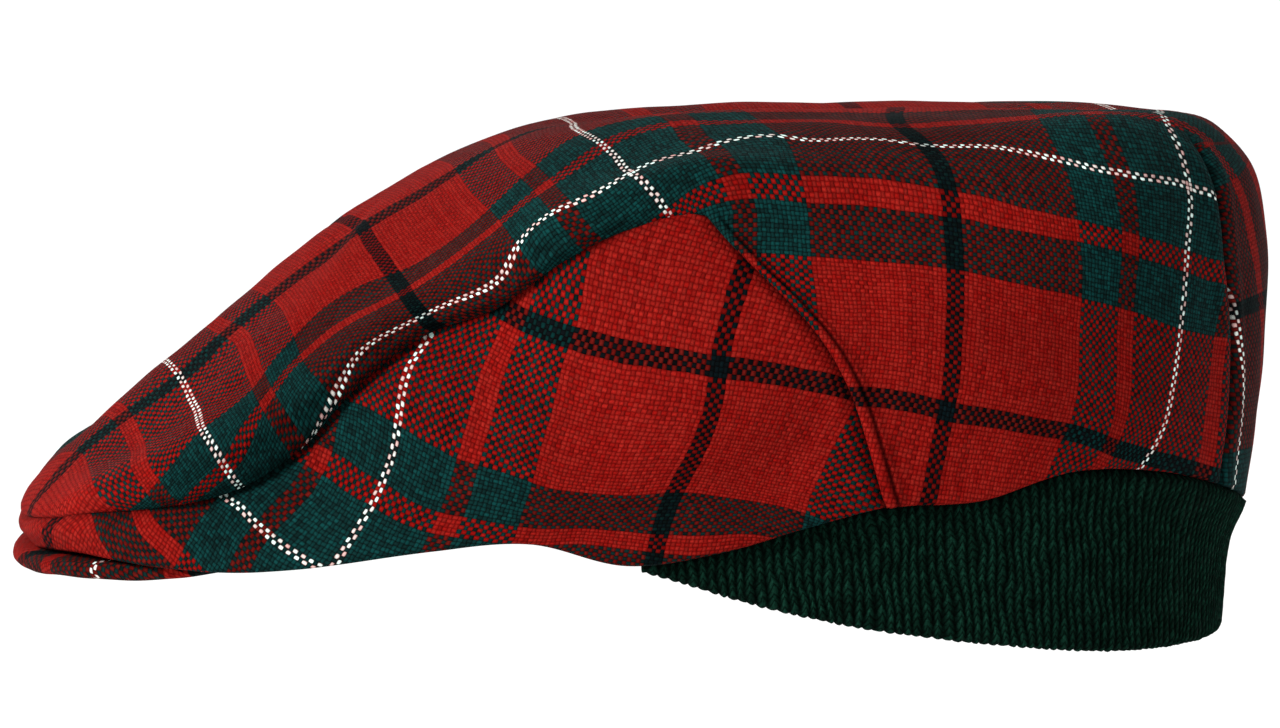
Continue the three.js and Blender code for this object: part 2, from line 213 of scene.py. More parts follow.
# The cloth of the crown lies askew at the front, so its lengthwise lines run to the left there
SKEW_THREADS = 13
SKEW_FROM_X = (85, 150)
PEAK_TURN = math.radians(35)

# Places on the photograph, in its pixels, where single threads of the check run. The first number is
# the thread: along the cloth for crosswise lines, and across it for lengthwise ones.
CROWN_CROSSWISE = [
    (-96, [(83, 455), (92, 476), (101, 497)]),
    (-81.5, [(124, 419), (138, 453), (153, 487)]),
    (-64, [(184, 382), (191, 398), (202, 430), (216, 450), (234, 480)]),
    (-46.5, [(242, 336), (250, 358), (258, 379), (268, 398), (277, 419), (291, 436)]),
    (-32, [(277, 305), (290, 327), (304, 364), (316, 378), (331, 393)]),
    (0, [(363, 228), (371, 243), (382, 258), (391, 273), (399, 283), (412, 303), (427, 320)]),
    (32, [(474, 195), (489, 210), (500, 222), (509, 234), (516, 243), (524, 252), (535, 270)]),
    (46.5, [(548, 193), (559, 205), (569, 216), (581, 234)]),
    (64, [(572, 122), (580, 130), (598, 142), (615, 156), (629, 172), (647, 187), (660, 202), (669, 215)]),
    (81.5, [(683, 121), (694, 138), (710, 149), (723, 167), (738, 186), (745, 210), (746, 232)]),
    (96, [(769, 128), (785, 139), (795, 154), (800, 177), (807, 200), (810, 223), (811, 250), (813, 274),
          (816, 297), (819, 330)]),
    (128, [(889, 117), (902, 129), (917, 139), (934, 154), (946, 184), (952, 208), (954, 247), (955, 290),
           (954, 338), (950, 390), (946, 412), (941, 443), (931, 488)]),
    (160, [(1043, 124), (1053, 142), (1066, 168), (1074, 202), (1081, 247), (1082, 299), (1080, 352),
           (1076, 404), (1067, 428), (1054, 456)]),
    (174.5, [(1098, 121), (1111, 148), (1121, 176), (1128, 208), (1131, 247), (1128, 286), (1125, 325),
             (1124, 378), (1118, 417), (1114, 440)]),
    (192, [(1166, 119), (1174, 138), (1184, 161), (1189, 185), (1191, 208), (1188, 236), (1185, 273),
           (1183, 312), (1178, 352), (1172, 391), (1161, 435), (1140, 468)]),
    (209.5, [(1219, 346), (1214, 391), (1210, 430), (1206, 464)]),
]
CROWN_LENGTHWISE = [
    (2, [(219, 333), (267, 293), (316, 258), (361, 223), (418, 190)]),
    (-2, [(225, 341), (273, 301), (321, 266), (365, 231), (422, 198)]),
    (0, [(29, 511), (34, 503), (41, 494), (57, 476), (84, 446), (114, 422), (151, 398), (175, 380),
         (222, 337), (270, 297), (318, 262), (363, 227), (420, 194), (458, 170)]),
    (-32, [(148, 495), (162, 478), (181, 452), (209, 424), (231, 407), (255, 391), (269, 368), (286, 346),
           (298, 334), (316, 313), (347, 292), (384, 276), (402, 270), (430, 255), (450, 241), (470, 225),
           (489, 209)]),
    (-46.5, [(188, 498), (204, 487), (223, 470), (237, 456), (250, 427), (260, 407), (268, 397),
             (281, 376), (299, 359), (322, 337), (353, 320), (399, 297), (424, 281), (452, 259), (484, 235),
             (500, 223), (513, 211), (526, 200), (540, 191), (560, 175), (585, 159), (611, 141), (636, 131),
             (667, 124), (693, 122), (739, 122), (790, 122), (836, 121), (866, 124), (899, 127)]),
    (-64, [(326, 411), (334, 400), (342, 388), (350, 371), (357, 357), (366, 345), (380, 337), (396, 330),
           (412, 320), (434, 309), (456, 300), (469, 296), (484, 291), (494, 284), (503, 274), (510, 259),
           (518, 246), (526, 232), (536, 223), (548, 215), (564, 207), (591, 195), (606, 188), (629, 172),
           (654, 161), (682, 154), (703, 149), (723, 142), (744, 137), (764, 135), (785, 138), (815, 141),
           (866, 138), (892, 139), (917, 144), (938, 147), (980, 145), (1017, 151), (1056, 159),
           (1095, 168), (1135, 176), (1189, 185), (1222, 196)]),
    (-81.5, [(738, 186), (780, 188), (815, 190), (866, 193), (899, 198), (939, 202), (978, 210),
             (1017, 218), (1077, 231), (1129, 244), (1187, 261), (1221, 273)]),
    (-96, [(813, 256), (860, 261), (946, 268), (991, 277), (1043, 289), (1082, 298), (1122, 308),
           (1174, 327), (1218, 339)]),
    (-128, [(857, 397), (899, 400), (946, 411), (991, 417), (1043, 427), (1090, 438), (1122, 451),
            (1161, 460), (1198, 471)]),
]
BACK_CROSSWISE = [
    (256, [(1228, 318), (1240, 307), (1253, 296)]),
    (288, [(1225, 444), (1238, 444)]),
]
BACK_LENGTHWISE = [
    (-46.5, [(1244, 213), (1252, 247), (1257, 273)]),
    (-64, [(1223, 326), (1234, 378), (1242, 425), (1248, 460)]),
]
CROWN_MARKS = (CROWN_CROSSWISE, CROWN_LENGTHWISE)
BACK_MARKS = (BACK_CROSSWISE, BACK_LENGTHWISE)
PANEL_CROSSWISE = [
    (-96, [(204, 517), (193, 531), (185, 550)]),
    (-81.5, [(319, 457), (296, 496), (275, 517), (255, 537), (247, 558)]),
    (-64, [(421, 352), (410, 363), (405, 379), (401, 400), (399, 416), (396, 436), (391, 457), (387, 473),
           (380, 489), (369, 509), (359, 525), (349, 541), (341, 557)]),
    (-46.5, [(512, 331), (504, 345), (496, 362), (489, 386), (482, 411), (474, 436), (466, 470), (459, 493),
             (449, 523), (436, 543)]),
    (-32, [(588, 254), (584, 286), (578, 320), (565, 355), (558, 382), (551, 415), (540, 448), (534, 478),
           (528, 495), (518, 526)]),
    (0, [(743, 266), (740, 286), (731, 316), (724, 343), (719, 369), (714, 401), (705, 431), (694, 458),
         (680, 479), (671, 499), (664, 522), (657, 543)]),
    (32, [(841, 428), (832, 451), (820, 474), (804, 511)]),
]
PANEL_LENGTHWISE = [
    (0, [(530, 324), (563, 334), (597, 344), (632, 352), (666, 359), (701, 365), (722, 369), (758, 373),
         (792, 378), (818, 382)]),
    (32, [(362, 405), (394, 423), (423, 441), (451, 455), (480, 466), (503, 472), (532, 480), (540, 488),
          (570, 492), (609, 495), (643, 495), (669, 493), (701, 493), (735, 499), (770, 504), (804, 511)]),
    (46.5, [(319, 457), (366, 489), (391, 502), (419, 518), (448, 525), (476, 529), (503, 533), (540, 538),
            (586, 534), (632, 541), (678, 545), (724, 545), (758, 543)]),
    (64, [(226, 493), (240, 509), (261, 527), (281, 545), (305, 560)]),
    (81.5, [(142, 521), (159, 537), (177, 555)]),
    (96, [(96, 520), (102, 537), (109, 553)]),
]
PANEL_MARKS = (PANEL_CROSSWISE, PANEL_LENGTHWISE)
# How far a mark reaches and how loosely it is followed, for the crown and panels and for the back
NEAR_PASSES = [(22, 0.12), (9, 0.3)]
BACK_PASSES = [(80, 0.3)]
MARK_NEIGHBOURS = 4
FACING_LEAST = 0.04

SMALL_RIB_STEP = 0.02
SMALL_LEVEL_STEP = 0.01
FINE_STEPS = 600
THREADS_IN_UV = 128
EDGE_STEPS = 4
CENTRE_TOP_Z = 12

# Laying the cloth flat
FLAT_RIB_STEP = 0.25
FLAT_TOP_LEVELS = 15
FLAT_SIDE_LEVELS = 9
FLAT_PANEL_RIBS = 46
FLAT_ROUNDS = 40
FREE = 1e-9
DART_FROM_LEVEL = 0.72

# Steps of the meshes, in millimetres and counts, and how closely they crowd
STEP = 1.5
SEAM_CROWDING = 110
SEAM_CROWDING_REACH = 0.16
TOP_STEPS = 54
TOP_CROWDING = 1.25
SIDE_STEPS = 34
SIDE_CROWDING = 0.05
PACED_LEVELS = np.array([0.7, 1.0, 2.0])
PEAK_COLUMNS = 30

# Lapped seam, which bows to the back, crease and dart
SEAM_BOW_RIBS = 0.28
SEAM_BOW_REACH = 1.7
LAP_RISE = 1.1
LAP_WIDTH = 1.8
LAP_SLOPE = 2.4
STITCH_DEPTH = 0.95
STITCH_REACH = 0.6
PANEL_TUCK = 1.2
PANEL_TUCK_REACH = 5
SMOOTH_LIP_RIBS = (3, 5)
PANEL_UNDER_SEAM = 0.14
DART_DEPTH = 1.6
DART_REACH = 0.8
DART_PUFF = 0.8
DART_PUFF_AT = 4
DART_PUFF_REACH = 3
SEAM_FADE_LEVELS = (0.97, 1.06)
DART_FADE_LEVELS = (0.66, 0.8)
FOLD_PLUMP = 1.1
FOLD_PLUMP_ABOVE = 2.2
FOLD_PLUMP_REACH = 1.7

# Gentle waves of the cloth and the knit: depth, length and, where it is fixed, the seed
SOFT_WAVES = [(0.18, 34), (0.08, 13)]
CROWN_SEED = 7
PEAK_WAVES = (0.12, 15, 61)
BAND_WAVES = (0.35, 45, 52)
RIB_WAVES = [(0.4, 14, 51), (0.22, 6, 54), (0.14, 2.8, 55)]
CREST_WAVES = (0.3, 5, 53)

# How dark the grooves are, where little light gets in: 0 is open cloth
STITCH_SHADE = 0.8
STITCH_SHADE_REACH = 0.55
DART_SHADE = 0.85
DART_SHADE_REACH = 0.9
SEAM_SHADE = 0.85
SEAM_SHADE_REACH = 2.4
CREASE_SHADE = 0.55
CREASE_SHADE_REACH = 2.6
RIM_SHADE = 0.8
RIM_SHADE_REACH = 3.5

# Knit of the ear band
KNIT_PITCH = 2.1
KNIT_SAMPLES = 8
KNIT_DEPTH = 0.6
KNIT_LEAN = 0.1
KNIT_SWELL = 3.2
KNIT_SWELL_BELOW = 0.5
KNIT_SWELL_REACH = 7
KNIT_SWELL_FADE = (-0.5, 2)
KNIT_SWELL_RIBS = (12, 14.5)
STITCH_PITCH = 1.7
CREST_ROUNDNESS = 0.8
CREST_MIDDLE = 0.6
CREST_USUAL = 0.8
BAND_ROWS = 37
BAND_INNER_ROWS = 19
BAND_HEM_STEPS = 6
BAND_FINE_STEPS = 800

# Check of the cloth over the peak
PEAK_WRAP_COLUMNS = 6
PEAK_CHECK_X = 24
PEAK_CHECK_ALONG = 28
PEAK_CHECK_ACROSS = -30

# Colours of the yarns
YARNS = {
    "black": (0.001, 0.0032, 0.004),
    "red": (0.13, 0.0042, 0.0028),
    "green": (0.0014, 0.0158, 0.015),
    "white": (0.4, 0.41, 0.38),
}
# The knit's dark green, with painted shade in the valleys between its ribs and painted highlight on their
# ridges
KNIT_VALLEY_SHADED = (0.0005, 0.0028, 0.0018)
KNIT_RIDGE_LIT = (0.0019, 0.012, 0.0073)

# Tints by tuft, height in the weave (painted shade in the gaps between threads, painted highlight on their
# tops), worn patch, fuzz and shade: places from 0 to 1 and factors, with one number for all of red, green
# and blue or a number each
YARN_RANGE = (0.85, 1.1)
TUFT_TINTS = [(0, (0.88, 0.5, 0.5)), (1, (1.1, 1.5, 1.5))]
# Painted shade on the low parts of white threads
WHITE_TUFT_SHADE_TINTS = [(0.22, 0.08), (0.58, 0.95)]
HEIGHT_SHADE_AND_HIGHLIGHT_TINTS = [(0.05, (0.5, 0.12, 0.12)), (0.6, 0.95), (1, 1.3)]
PATCH_TINTS = [(0.3, 0.88), (0.7, 1.08)]
FUZZ_TINTS = [(0.3, 0.75), (0.7, 1.25)]
SHADE_TINTS = [(0, 1), (1, 0.04)]
# Painted shade between the knit's stitches, and a little painted highlight on their tops
LOOP_SHADE_TINTS = [(0.1, 0.2), (0.9, 1.1)]
STITCH_TINTS = [(0, 0.6), (1, 1.4)]
KNIT_FUZZ_TINTS = [(0.3, 0.35), (0.7, 1.7)]

# Noise that sways the threads and the stitches: its scale, and by how many threads or stitches
SWAY = (420, 0.7)
DRIFT = (130, 0.9)
KNIT_WOBBLE = (300, 1.0)

# Noise of worn patches and fuzz: scale, detail and roughness
PATCHES = (28, 3)
CLOTH_FUZZ = (2600, 3, 0.65)
KNIT_FUZZ = (1800, 4, 0.7)
FLOOR_NOISE = (6, 3)

# Fine form: how far threads and loops arch, the strength and depth of the bump, roughness and gloss
ARCH_SHARE = 0.45
LOOP_ROUNDNESS = 0.7
LOOP_SHARE = 0.6
CLOTH_BUMP = (0.4, 0.00035)
KNIT_BUMP = (0.9, 0.0006)
CLOTH_FUZZ_HEIGHT = 0.35
KNIT_FUZZ_HEIGHT = 0.4
CLOTH_ROUGH = 0.8
CLOTH_ROUGH_BY_FUZZ = 0.15
CLOTH_GLOSS = 0.02
KNIT_ROUGH = 0.9
KNIT_GLOSS = 0.01
FLOOR_ROUGH = 0.9

# Painted light: how light the threads of each direction are, as their floats catch the light differently
CROSSWISE_LIGHTING_GAIN = 1.0
LENGTHWISE_LIGHTING_GAIN = 1.1
# Where threads of two colours cross, the lengthwise ones stand out and the crosswise ones lie in shade:
# painted shade on both, and more on lengthwise ones beside black threads
CROSSWISE_MIXED_SHADE = (0.42, 0.6, 0.6)
LENGTHWISE_MIXED_SHADE = (0.87, 0.45, 0.45)
RED_STEP = 0.1
GREEN_STEP = 0.012
WHITE_STEP = 0.2
BLACK_STEP = 0.006
BESIDE_BLACK_SHADE = 0.55

# Light and floor
WORLD_LIGHT = 1.12
KEY_LIGHT = 66
KEY_PLACE = (-1.55, -0.85, 1.0)
KEY_SIZE = 0.8
FLOOR_Z = -0.4
FLOOR_REACH = 60
FLOOR_TONES = [(0, 0.93), (1, 0.96)]


def hermite(u):
    left = 1 - u
    return (1 + 2 * u) * left * left, u * left * left, u * u * (3 - 2 * u), -u * u * left


def smoothstep(value, start, end):
    share = np.clip((value - start) / (end - start), 0, 1)
    return share * share * (3 - 2 * share)


def bump(value, middle, reach):
    return np.exp(-((value - middle) / reach) ** 2)


def unit(vectors):
    return vectors / np.maximum(np.linalg.norm(vectors, axis=-1, keepdims=True), 1e-9)


# Smooth curve through the rows of a table, which never overshoots them
def curve_at(xs, ys, x):
    rise = np.diff(ys) / np.diff(xs)
    slope = np.concatenate([rise[:1], np.zeros(len(xs) - 2), rise[-1:]])
    before, after = rise[:-1], rise[1:]
    same = before * after > 0
    slope[1:-1][same] = 2 * before[same] * after[same] / (before[same] + after[same])
    x = np.clip(x, xs[0], xs[-1])
    i = np.clip(np.searchsorted(xs, x, side="right") - 1, 0, len(xs) - 2)
    width = xs[i + 1] - xs[i]
    at_start, out_of_start, at_end, into_end = hermite((x - xs[i]) / width)
    ends = at_start * ys[i] + at_end * ys[i + 1]
    return ends + width * (out_of_start * slope[i] + into_end * slope[i + 1])


# Sizes of the ribs at places between the rows
def rib_sizes(ribs):
    k = np.minimum(np.floor(ribs).astype(int), BACK_RIB - 1)
    at_start, out_of_start, at_end, into_end = hermite(ribs - k)
    sizes = {}
    for name in RIB_COLUMNS:
        side = -1 if name.endswith("Y") else 1
        column = RIBS[name]
        rows = np.concatenate([[side * column[1]], column, [side * column[-2]]])
        before, start, end, after = rows[k], rows[k + 1], rows[k + 2], rows[k + 3]
        sizes[name] = (at_start * start + out_of_start * (end - before) / 2
                       + at_end * end + into_end * (after - start) / 2)
        if name == "startX":
            sizes[name] = start + (end - start) * (ribs - k)
    return sizes


# 1 at ribs with a sharp crease, 0 at smooth ones
def sharpness(ribs):
    return np.clip(rib_sizes(ribs)["sharp"], 0, 1)[:, None]


def spine_z(x):
    return curve_at(SPINE["x"], SPINE["z"], x)


def spine_slope(x):
    return (spine_z(x + 1) - spine_z(x - 1)) / 2


def rim_points(ribs):
    sizes = rib_sizes(ribs)
    return np.stack([sizes["rimX"], sizes["rimY"], sizes["rimZ"]], -1)


# Level directions that point out of the cap at the rim
def outward(ribs):
    step = (rim_points(np.minimum(ribs + SMALL_RIB_STEP, BACK_RIB))
            - rim_points(np.maximum(ribs - SMALL_RIB_STEP, 0)))
    return unit(np.stack([-step[..., 1], step[..., 0], 0 * step[..., 0]], -1))


# Points on curves through nodes, one curve a rib, at shares 0 to 1 of their length
def through_nodes(nodes, first_tangent, last_tangent, shares):
    chords = [np.linalg.norm(b - a, axis=-1) for a, b in zip(nodes[:-1], nodes[1:])]
    at = [np.zeros_like(chords[0])]
    for chord in chords:
        at.append(at[-1] + chord)
    tangents = [first_tangent]
    for k in range(1, len(nodes) - 1):
        before = (nodes[k] - nodes[k - 1]) / chords[k - 1][:, None]
        after = (nodes[k + 1] - nodes[k]) / chords[k][:, None]
        weight = (chords[k - 1] / (chords[k - 1] + chords[k]))[:, None]
        tangents.append(before + (after - before) * weight)
    tangents.append(last_tangent)
    place = shares * at[-1][:, None]
    points = None
    for i, chord in enumerate(chords):
        u = np.clip((place - at[i][:, None]) / chord[:, None], 0, 1)[..., None]
        at_start, out_of_start, at_end, into_end = hermite(u)
        width = chord[:, None, None]
        stretch = (at_start * nodes[i][:, None] + width * out_of_start * tangents[i][:, None]
                   + at_end * nodes[i + 1][:, None] + width * into_end * tangents[i + 1][:, None])
        if points is None:
            points = stretch
        else:
            points = np.where((place > at[i][:, None])[..., None], stretch, points)
    return points


# Points of single ribs, each at levels of its own
def straight_points(ribs, levels):
    r = rib_sizes(ribs)
    start = np.stack([r["startX"], 0 * ribs, spine_z(r["startX"])], -1)
    crease = np.stack([r["creaseX"], r["creaseY"], r["creaseZ"]], -1)
    rim = np.stack([r["rimX"], r["rimY"], r["rimZ"]], -1)
    out = crease - start
    out[:, 2] = 0
    reach = np.linalg.norm(out, axis=-1)[:, None]
    out = out / reach
    near = start + out * NEAR_AT * reach
    near[:, 2] = r["zNear"]
    far = start + out * FAR_AT * reach
    far[:, 2] = r["zFar"]
    fold = crease + out * r["foldOut"][:, None]
    fold[:, 2] += r["foldUp"]
    middle = (crease + rim) / 2 + outward(ribs) * r["bulge"][:, None]
    first = out.copy()
    first[:, 2] = spine_slope(r["startX"]) * out[:, 0]
    over = unit(crease - fold)
    down = unit(middle - crease)
    smooth = unit(over + down)
    sharp = sharpness(ribs)
    top = through_nodes([start, near, far, fold, crease], first, smooth + (over - smooth) * sharp,
                        np.clip(levels, 0, 1))
    side = through_nodes([crease, middle, rim], smooth + (down - smooth) * sharp, unit(rim - middle),
                         np.clip(levels - 1, 0, 1))
    points = np.where((levels <= 1)[..., None], top, side)
    along = smoothstep(points[..., 0], *SAG_FROM) * (1 - smoothstep(points[..., 0], *SAG_TO))
    sag = SAG_DEPTH * along * bump(points[..., 1], 0, SAG_HALF_WIDTH)
    points[..., 2] -= np.where(levels < 1, sag, 0)
    return points


# Smooth outer surface of the crown, as a grid with a row a rib and a column a level. Ribs near the
# lapped seam bow to the back with it.
def crown_points(ribs, levels):
    bow = SEAM_BOW_RIBS * np.sin(math.pi * np.clip(levels - 1, 0, 1))
    places = ribs[:, None] + bow * bump(ribs, SEAM_RIB, SEAM_BOW_REACH)[:, None]
    grid = np.broadcast_to(levels, places.shape)
    return straight_points(places.ravel(), grid.reshape(-1, 1)).reshape(grid.shape + (3,))


def crown_normals(ribs, levels):
    along = (crown_points(np.minimum(ribs + SMALL_RIB_STEP, BACK_RIB), levels)
             - crown_points(np.maximum(ribs - SMALL_RIB_STEP, 0), levels))
    across = (crown_points(ribs, np.minimum(levels + SMALL_LEVEL_STEP, 2))
              - crown_points(ribs, np.maximum(levels - SMALL_LEVEL_STEP, 0)))
    normals = unit(np.cross(along, across))
    on_spine = levels == 0
    slope = spine_slope(rib_sizes(ribs)["startX"])
    upright = unit(np.stack([-slope, 0 * slope, 0 * slope + 1], -1))
    normals = np.where(on_spine[:, None], upright[:, None], normals)
    centre = (ribs == 0) | (ribs == BACK_RIB)
    normals[centre, :, 1] = 0
    return unit(normals)


# Weights that carry values at nodes to other places along a smooth curve through them
def spline_weights(nodes, places):
    count = len(nodes)
    slopes = np.zeros((count, count))
    for k in range(count):
        a, b = max(k - 1, 0), min(k + 1, count - 1)
        slopes[k, b] += 1 / (nodes[b] - nodes[a])
        slopes[k, a] -= 1 / (nodes[b] - nodes[a])
    i = np.clip(np.searchsorted(nodes, places, side="right") - 1, 0, count - 2)
    width = (nodes[i + 1] - nodes[i])[:, None]
    shares = (places - nodes[i]) / width[:, 0]
    at_start, out_of_start, at_end, into_end = (weight[:, None] for weight in hermite(shares))
    same = np.eye(count)
    return (at_start * same[i] + at_end * same[i + 1]
            + width * (out_of_start * slopes[i] + into_end * slopes[i + 1]))


# Lays a curved mesh flat with as little stretch as it can, with its centre line kept straight
def lay_flat(points, triangles, start, on_centre):
    corners = points[triangles]
    flat = start.copy()
    laplace = np.zeros((len(points), len(points)))
    edges = []
    side = corners[:, 1] - corners[:, 0]
    length = np.linalg.norm(side, axis=1)
    across = corners[:, 2] - corners[:, 0]
    along = np.sum(across * side, axis=1) / length
    height = np.sqrt(np.maximum(np.sum(across ** 2, axis=1) - along ** 2, 1e-9))
    local = np.zeros((len(triangles), 3, 2))
    local[:, 1, 0] = length
    local[:, 2, 0] = along
    local[:, 2, 1] = height
    for k in range(3):
        i, j = (k + 1) % 3, (k + 2) % 3
        to_i, to_j = local[:, i] - local[:, k], local[:, j] - local[:, k]
        area = np.abs(to_i[:, 0] * to_j[:, 1] - to_i[:, 1] * to_j[:, 0])
        weight = np.clip(np.sum(to_i * to_j, axis=1) / area, 0.02, 20) / 2
        a, b = triangles[:, i], triangles[:, j]
        np.add.at(laplace, (a, a), weight)
        np.add.at(laplace, (b, b), weight)
        np.add.at(laplace, (a, b), -weight)
        np.add.at(laplace, (b, a), -weight)
        edges.append((a, b, local[:, i] - local[:, j], weight))
    hold = np.zeros(len(points))
    hold[np.argmin(start[:, 0])] = 1
    solve_along = np.linalg.inv(laplace + np.diag(hold))
    solve_across = np.linalg.inv(laplace + np.diag(1e4 * on_centre + 1e-6 * hold))
    held = hold * start[:, 0]
    for _ in range(FLAT_ROUNDS):
        cosine = sum(w * np.sum((flat[a] - flat[b]) * e, axis=1) for a, b, e, w in edges)
        sine = sum(w * ((flat[a] - flat[b])[:, 1] * e[:, 0] - (flat[a] - flat[b])[:, 0] * e[:, 1])
                   for a, b, e, w in edges)
        size = np.hypot(cosine, sine)
        cosine, sine = cosine / size, sine / size
        pull = np.zeros_like(flat)
        for a, b, e, w in edges:
            turned = np.stack([cosine * e[:, 0] - sine * e[:, 1], sine * e[:, 0] + cosine * e[:, 1]], -1)
            np.add.at(pull, a, w[:, None] * turned)
            np.add.at(pull, b, -w[:, None] * turned)
        flat = np.stack([solve_along @ (pull[:, 0] + held), solve_across @ pull[:, 1]], -1)
    return flat


# Flat cloth of one half of the crown: two charts that meet along the rear dart
def flat_crown():
    ribs = np.arange(0, BACK_RIB + 0.1, FLAT_RIB_STEP)
    side = np.linspace(1, 2, FLAT_SIDE_LEVELS)[1:]
    levels = np.concatenate([np.linspace(0, 1, FLAT_TOP_LEVELS), side])
    points = crown_points(ribs, levels)
    points[..., 1] = np.abs(points[..., 1])
    points[(ribs == 0) | (ribs == BACK_RIB), :, 1] = 0
    keys = np.round(points.reshape(-1, 3) * 1000).astype(int)
    _, first, number = np.unique(keys, axis=0, return_index=True, return_inverse=True)
    number = number.reshape(points.shape[:2])
    places = points.reshape(-1, 3)[first]
    dart = int(np.argmin(np.abs(ribs - DART_RIB)))
    opened = np.nonzero(levels >= DART_FROM_LEVEL)[0]
    behind = number.copy()
    behind[dart, opened] = len(places) + np.arange(len(opened))
    places = np.concatenate([places, points[dart, opened]])
    drop = np.maximum(points[:, FLAT_TOP_LEVELS - 1, 2][:, None] - points[..., 2], 0)
    drop = np.where(levels > 1, drop, 0)[..., None]
    guess_grid = points[..., :2] + drop * outward(ribs)[:, None, :2]
    guess = np.zeros((len(places), 2))
    guess[number.ravel()] = guess_grid.reshape(-1, 2)
    guess[behind.ravel()] = guess_grid.reshape(-1, 2)
    triangles = []
    for i in range(len(ribs) - 1):
        ids = behind if i >= dart else number
        for j in range(len(levels) - 1):
            if levels[j] >= 1 and ribs[i] < SEAM_RIB:
                continue
            a, b, c, d = ids[i, j], ids[i + 1, j], ids[i + 1, j + 1], ids[i, j + 1]
            triangles += [t for t in ((a, b, c), (a, c, d)) if len(set(t)) == 3]
    triangles = np.array(triangles)
    used = np.unique(triangles)
    renumber = np.full(len(places), -1)
    renumber[used] = np.arange(len(used))
    on_centre = (places[used][:, 1] < 1e-3).astype(float)
    flat = lay_flat(places[used], renumber[triangles], guess[used], on_centre)
    padded = np.concatenate([flat, [[0, 0]]])
    front = padded[renumber[number]][:dart + 1]
    rear = padded[renumber[behind]][dart:]
    return {"ribs": ribs, "levels": levels, "dart": dart, "front": front, "rear": rear,
            "centre": places[used], "flat": flat, "on_centre": on_centre > 0}


# Threads along and across the cloth at places of one half of the crown
def crown_threads(chart, ribs, levels):
    dart = chart["dart"]
    threads = np.zeros((len(ribs), len(levels), 2))
    for part, rows, own in (("front", ribs <= DART_SEEN_RIB, slice(0, dart + 1)),
                            ("rear", ribs > DART_SEEN_RIB, slice(dart, None))):
        for columns, near, first_rib in ((levels <= 1, chart["levels"] <= 1, 0),
                                         (levels > 1, chart["levels"] >= 1, SEAM_RIB)):
            use = chart["ribs"][own] >= first_rib
            nodes = chart["ribs"][own][use]
            by_rib = spline_weights(nodes, np.maximum(ribs[rows], nodes[0] - FLAT_RIB_STEP))
            by_level = spline_weights(chart["levels"][near], levels[columns])
            values = chart[part][use][:, near]
            threads[np.ix_(rows, columns)] = np.einsum("ri,ijk,lj->rlk", by_rib, values, by_level)
    return threads


# The crosswise lines of the check sit where the photograph shows them on the centre line
def align_threads(chart, threads):
    on_centre = chart["on_centre"] & (chart["centre"][:, 2] > CENTRE_TOP_Z)
    order = np.argsort(chart["flat"][on_centre, 0])
    along = chart["flat"][on_centre, 0][order]
    place = chart["centre"][on_centre, 0][order]
    known = np.interp(CROSS_LINES_X, place, along)
    steps = CROSS_LINES_THREAD.astype(float)
    u = threads[..., 0]
    inside = curve_at(known, steps, u)
    below = steps[0] + (u - known[0])
    above = steps[-1] + (u - known[-1])
    aligned = np.where(u < known[0], below, np.where(u > known[-1], above, inside))
    return np.stack([aligned, threads[..., 1]], -1)


# Pixels of the photograph where places of the cap show
def seen_at(points):
    place, right, up, back = (np.array(vector) for vector in camera_pose())
    away = (points - [HEAD_X, 0, HEAD_Z]) * MM - place
    zoom = CAMERA_LENS / CAMERA_SENSOR * PHOTO_WIDTH / -(away @ back)
    return np.stack([PHOTO_WIDTH / 2 + (away @ right) * zoom, PHOTO_HEIGHT / 2 - (away @ up) * zoom], -1)


# Places and threads of the cloth under marks on the photograph
def under_marks(points, normals, threads, marks, shown):
    eye = np.array(camera_pose()[0]) / MM + [HEAD_X, 0, HEAD_Z]
    towards = shown & (np.sum(normals * unit(eye - points), axis=-1) > FACING_LEAST)
    points, threads = points[towards], threads[towards]
    pixels = seen_at(points)
    found = []
    for thread, places in marks:
        for place in places:
            away = np.linalg.norm(pixels - place, axis=-1)
            near = np.argsort(away)[:MARK_NEIGHBOURS]
            weight = 1 / (away[near] + 0.5)
            weight /= weight.sum()
            found.append([*(weight @ points[near]), *(weight @ threads[near]), thread])
    found = np.array(found)
    return found[:, :3], found[:, 3:5], found[:, 5]


# Nudges the threads so that the lines of the check run where the photograph shows them
def nudge_threads(points, normals, threads, both_marks, shown, passes):
    nudged = threads.copy()
    for reach, looseness in passes:
        for column, marks in enumerate(both_marks):
            places, found, wanted = under_marks(points, normals, nudged, marks, shown)
            between = np.linalg.norm(places[:, None] - places[None], axis=-1)
            pull = np.exp(-(between / reach) ** 2) + looseness * np.eye(len(places))
            strength = np.linalg.solve(pull, wanted - found[:, column])
            for place, force in zip(places, strength):
                away = np.linalg.norm(points - place, axis=-1)
                nudged[..., column] += force * np.exp(-(away / reach) ** 2)
    return nudged


# Random waves in space, about -1 to 1, that stay the same on every run
def waves(points, length, seed, count=18):
    random = np.random.default_rng(seed)
    total = np.zeros(points.shape[:-1])
    for _ in range(count):
        direction = random.normal(size=3)
        direction *= random.uniform(0.7, 1.3) / (length * np.linalg.norm(direction))
        total += np.cos(2 * math.pi * points @ direction + random.uniform(0, 2 * math.pi))
    return total / math.sqrt(count)


def cell_corners(grid):
    return grid[:-1, :-1], grid[1:, :-1], grid[1:, 1:], grid[:-1, 1:]


# Values at the four corners of each face of a grid whose columns close in a loop
def loop_corners(values):
    beside = np.roll(values, -1, axis=1)
    return np.stack([values[:-1], beside[:-1], beside[1:], values[1:]], 2)


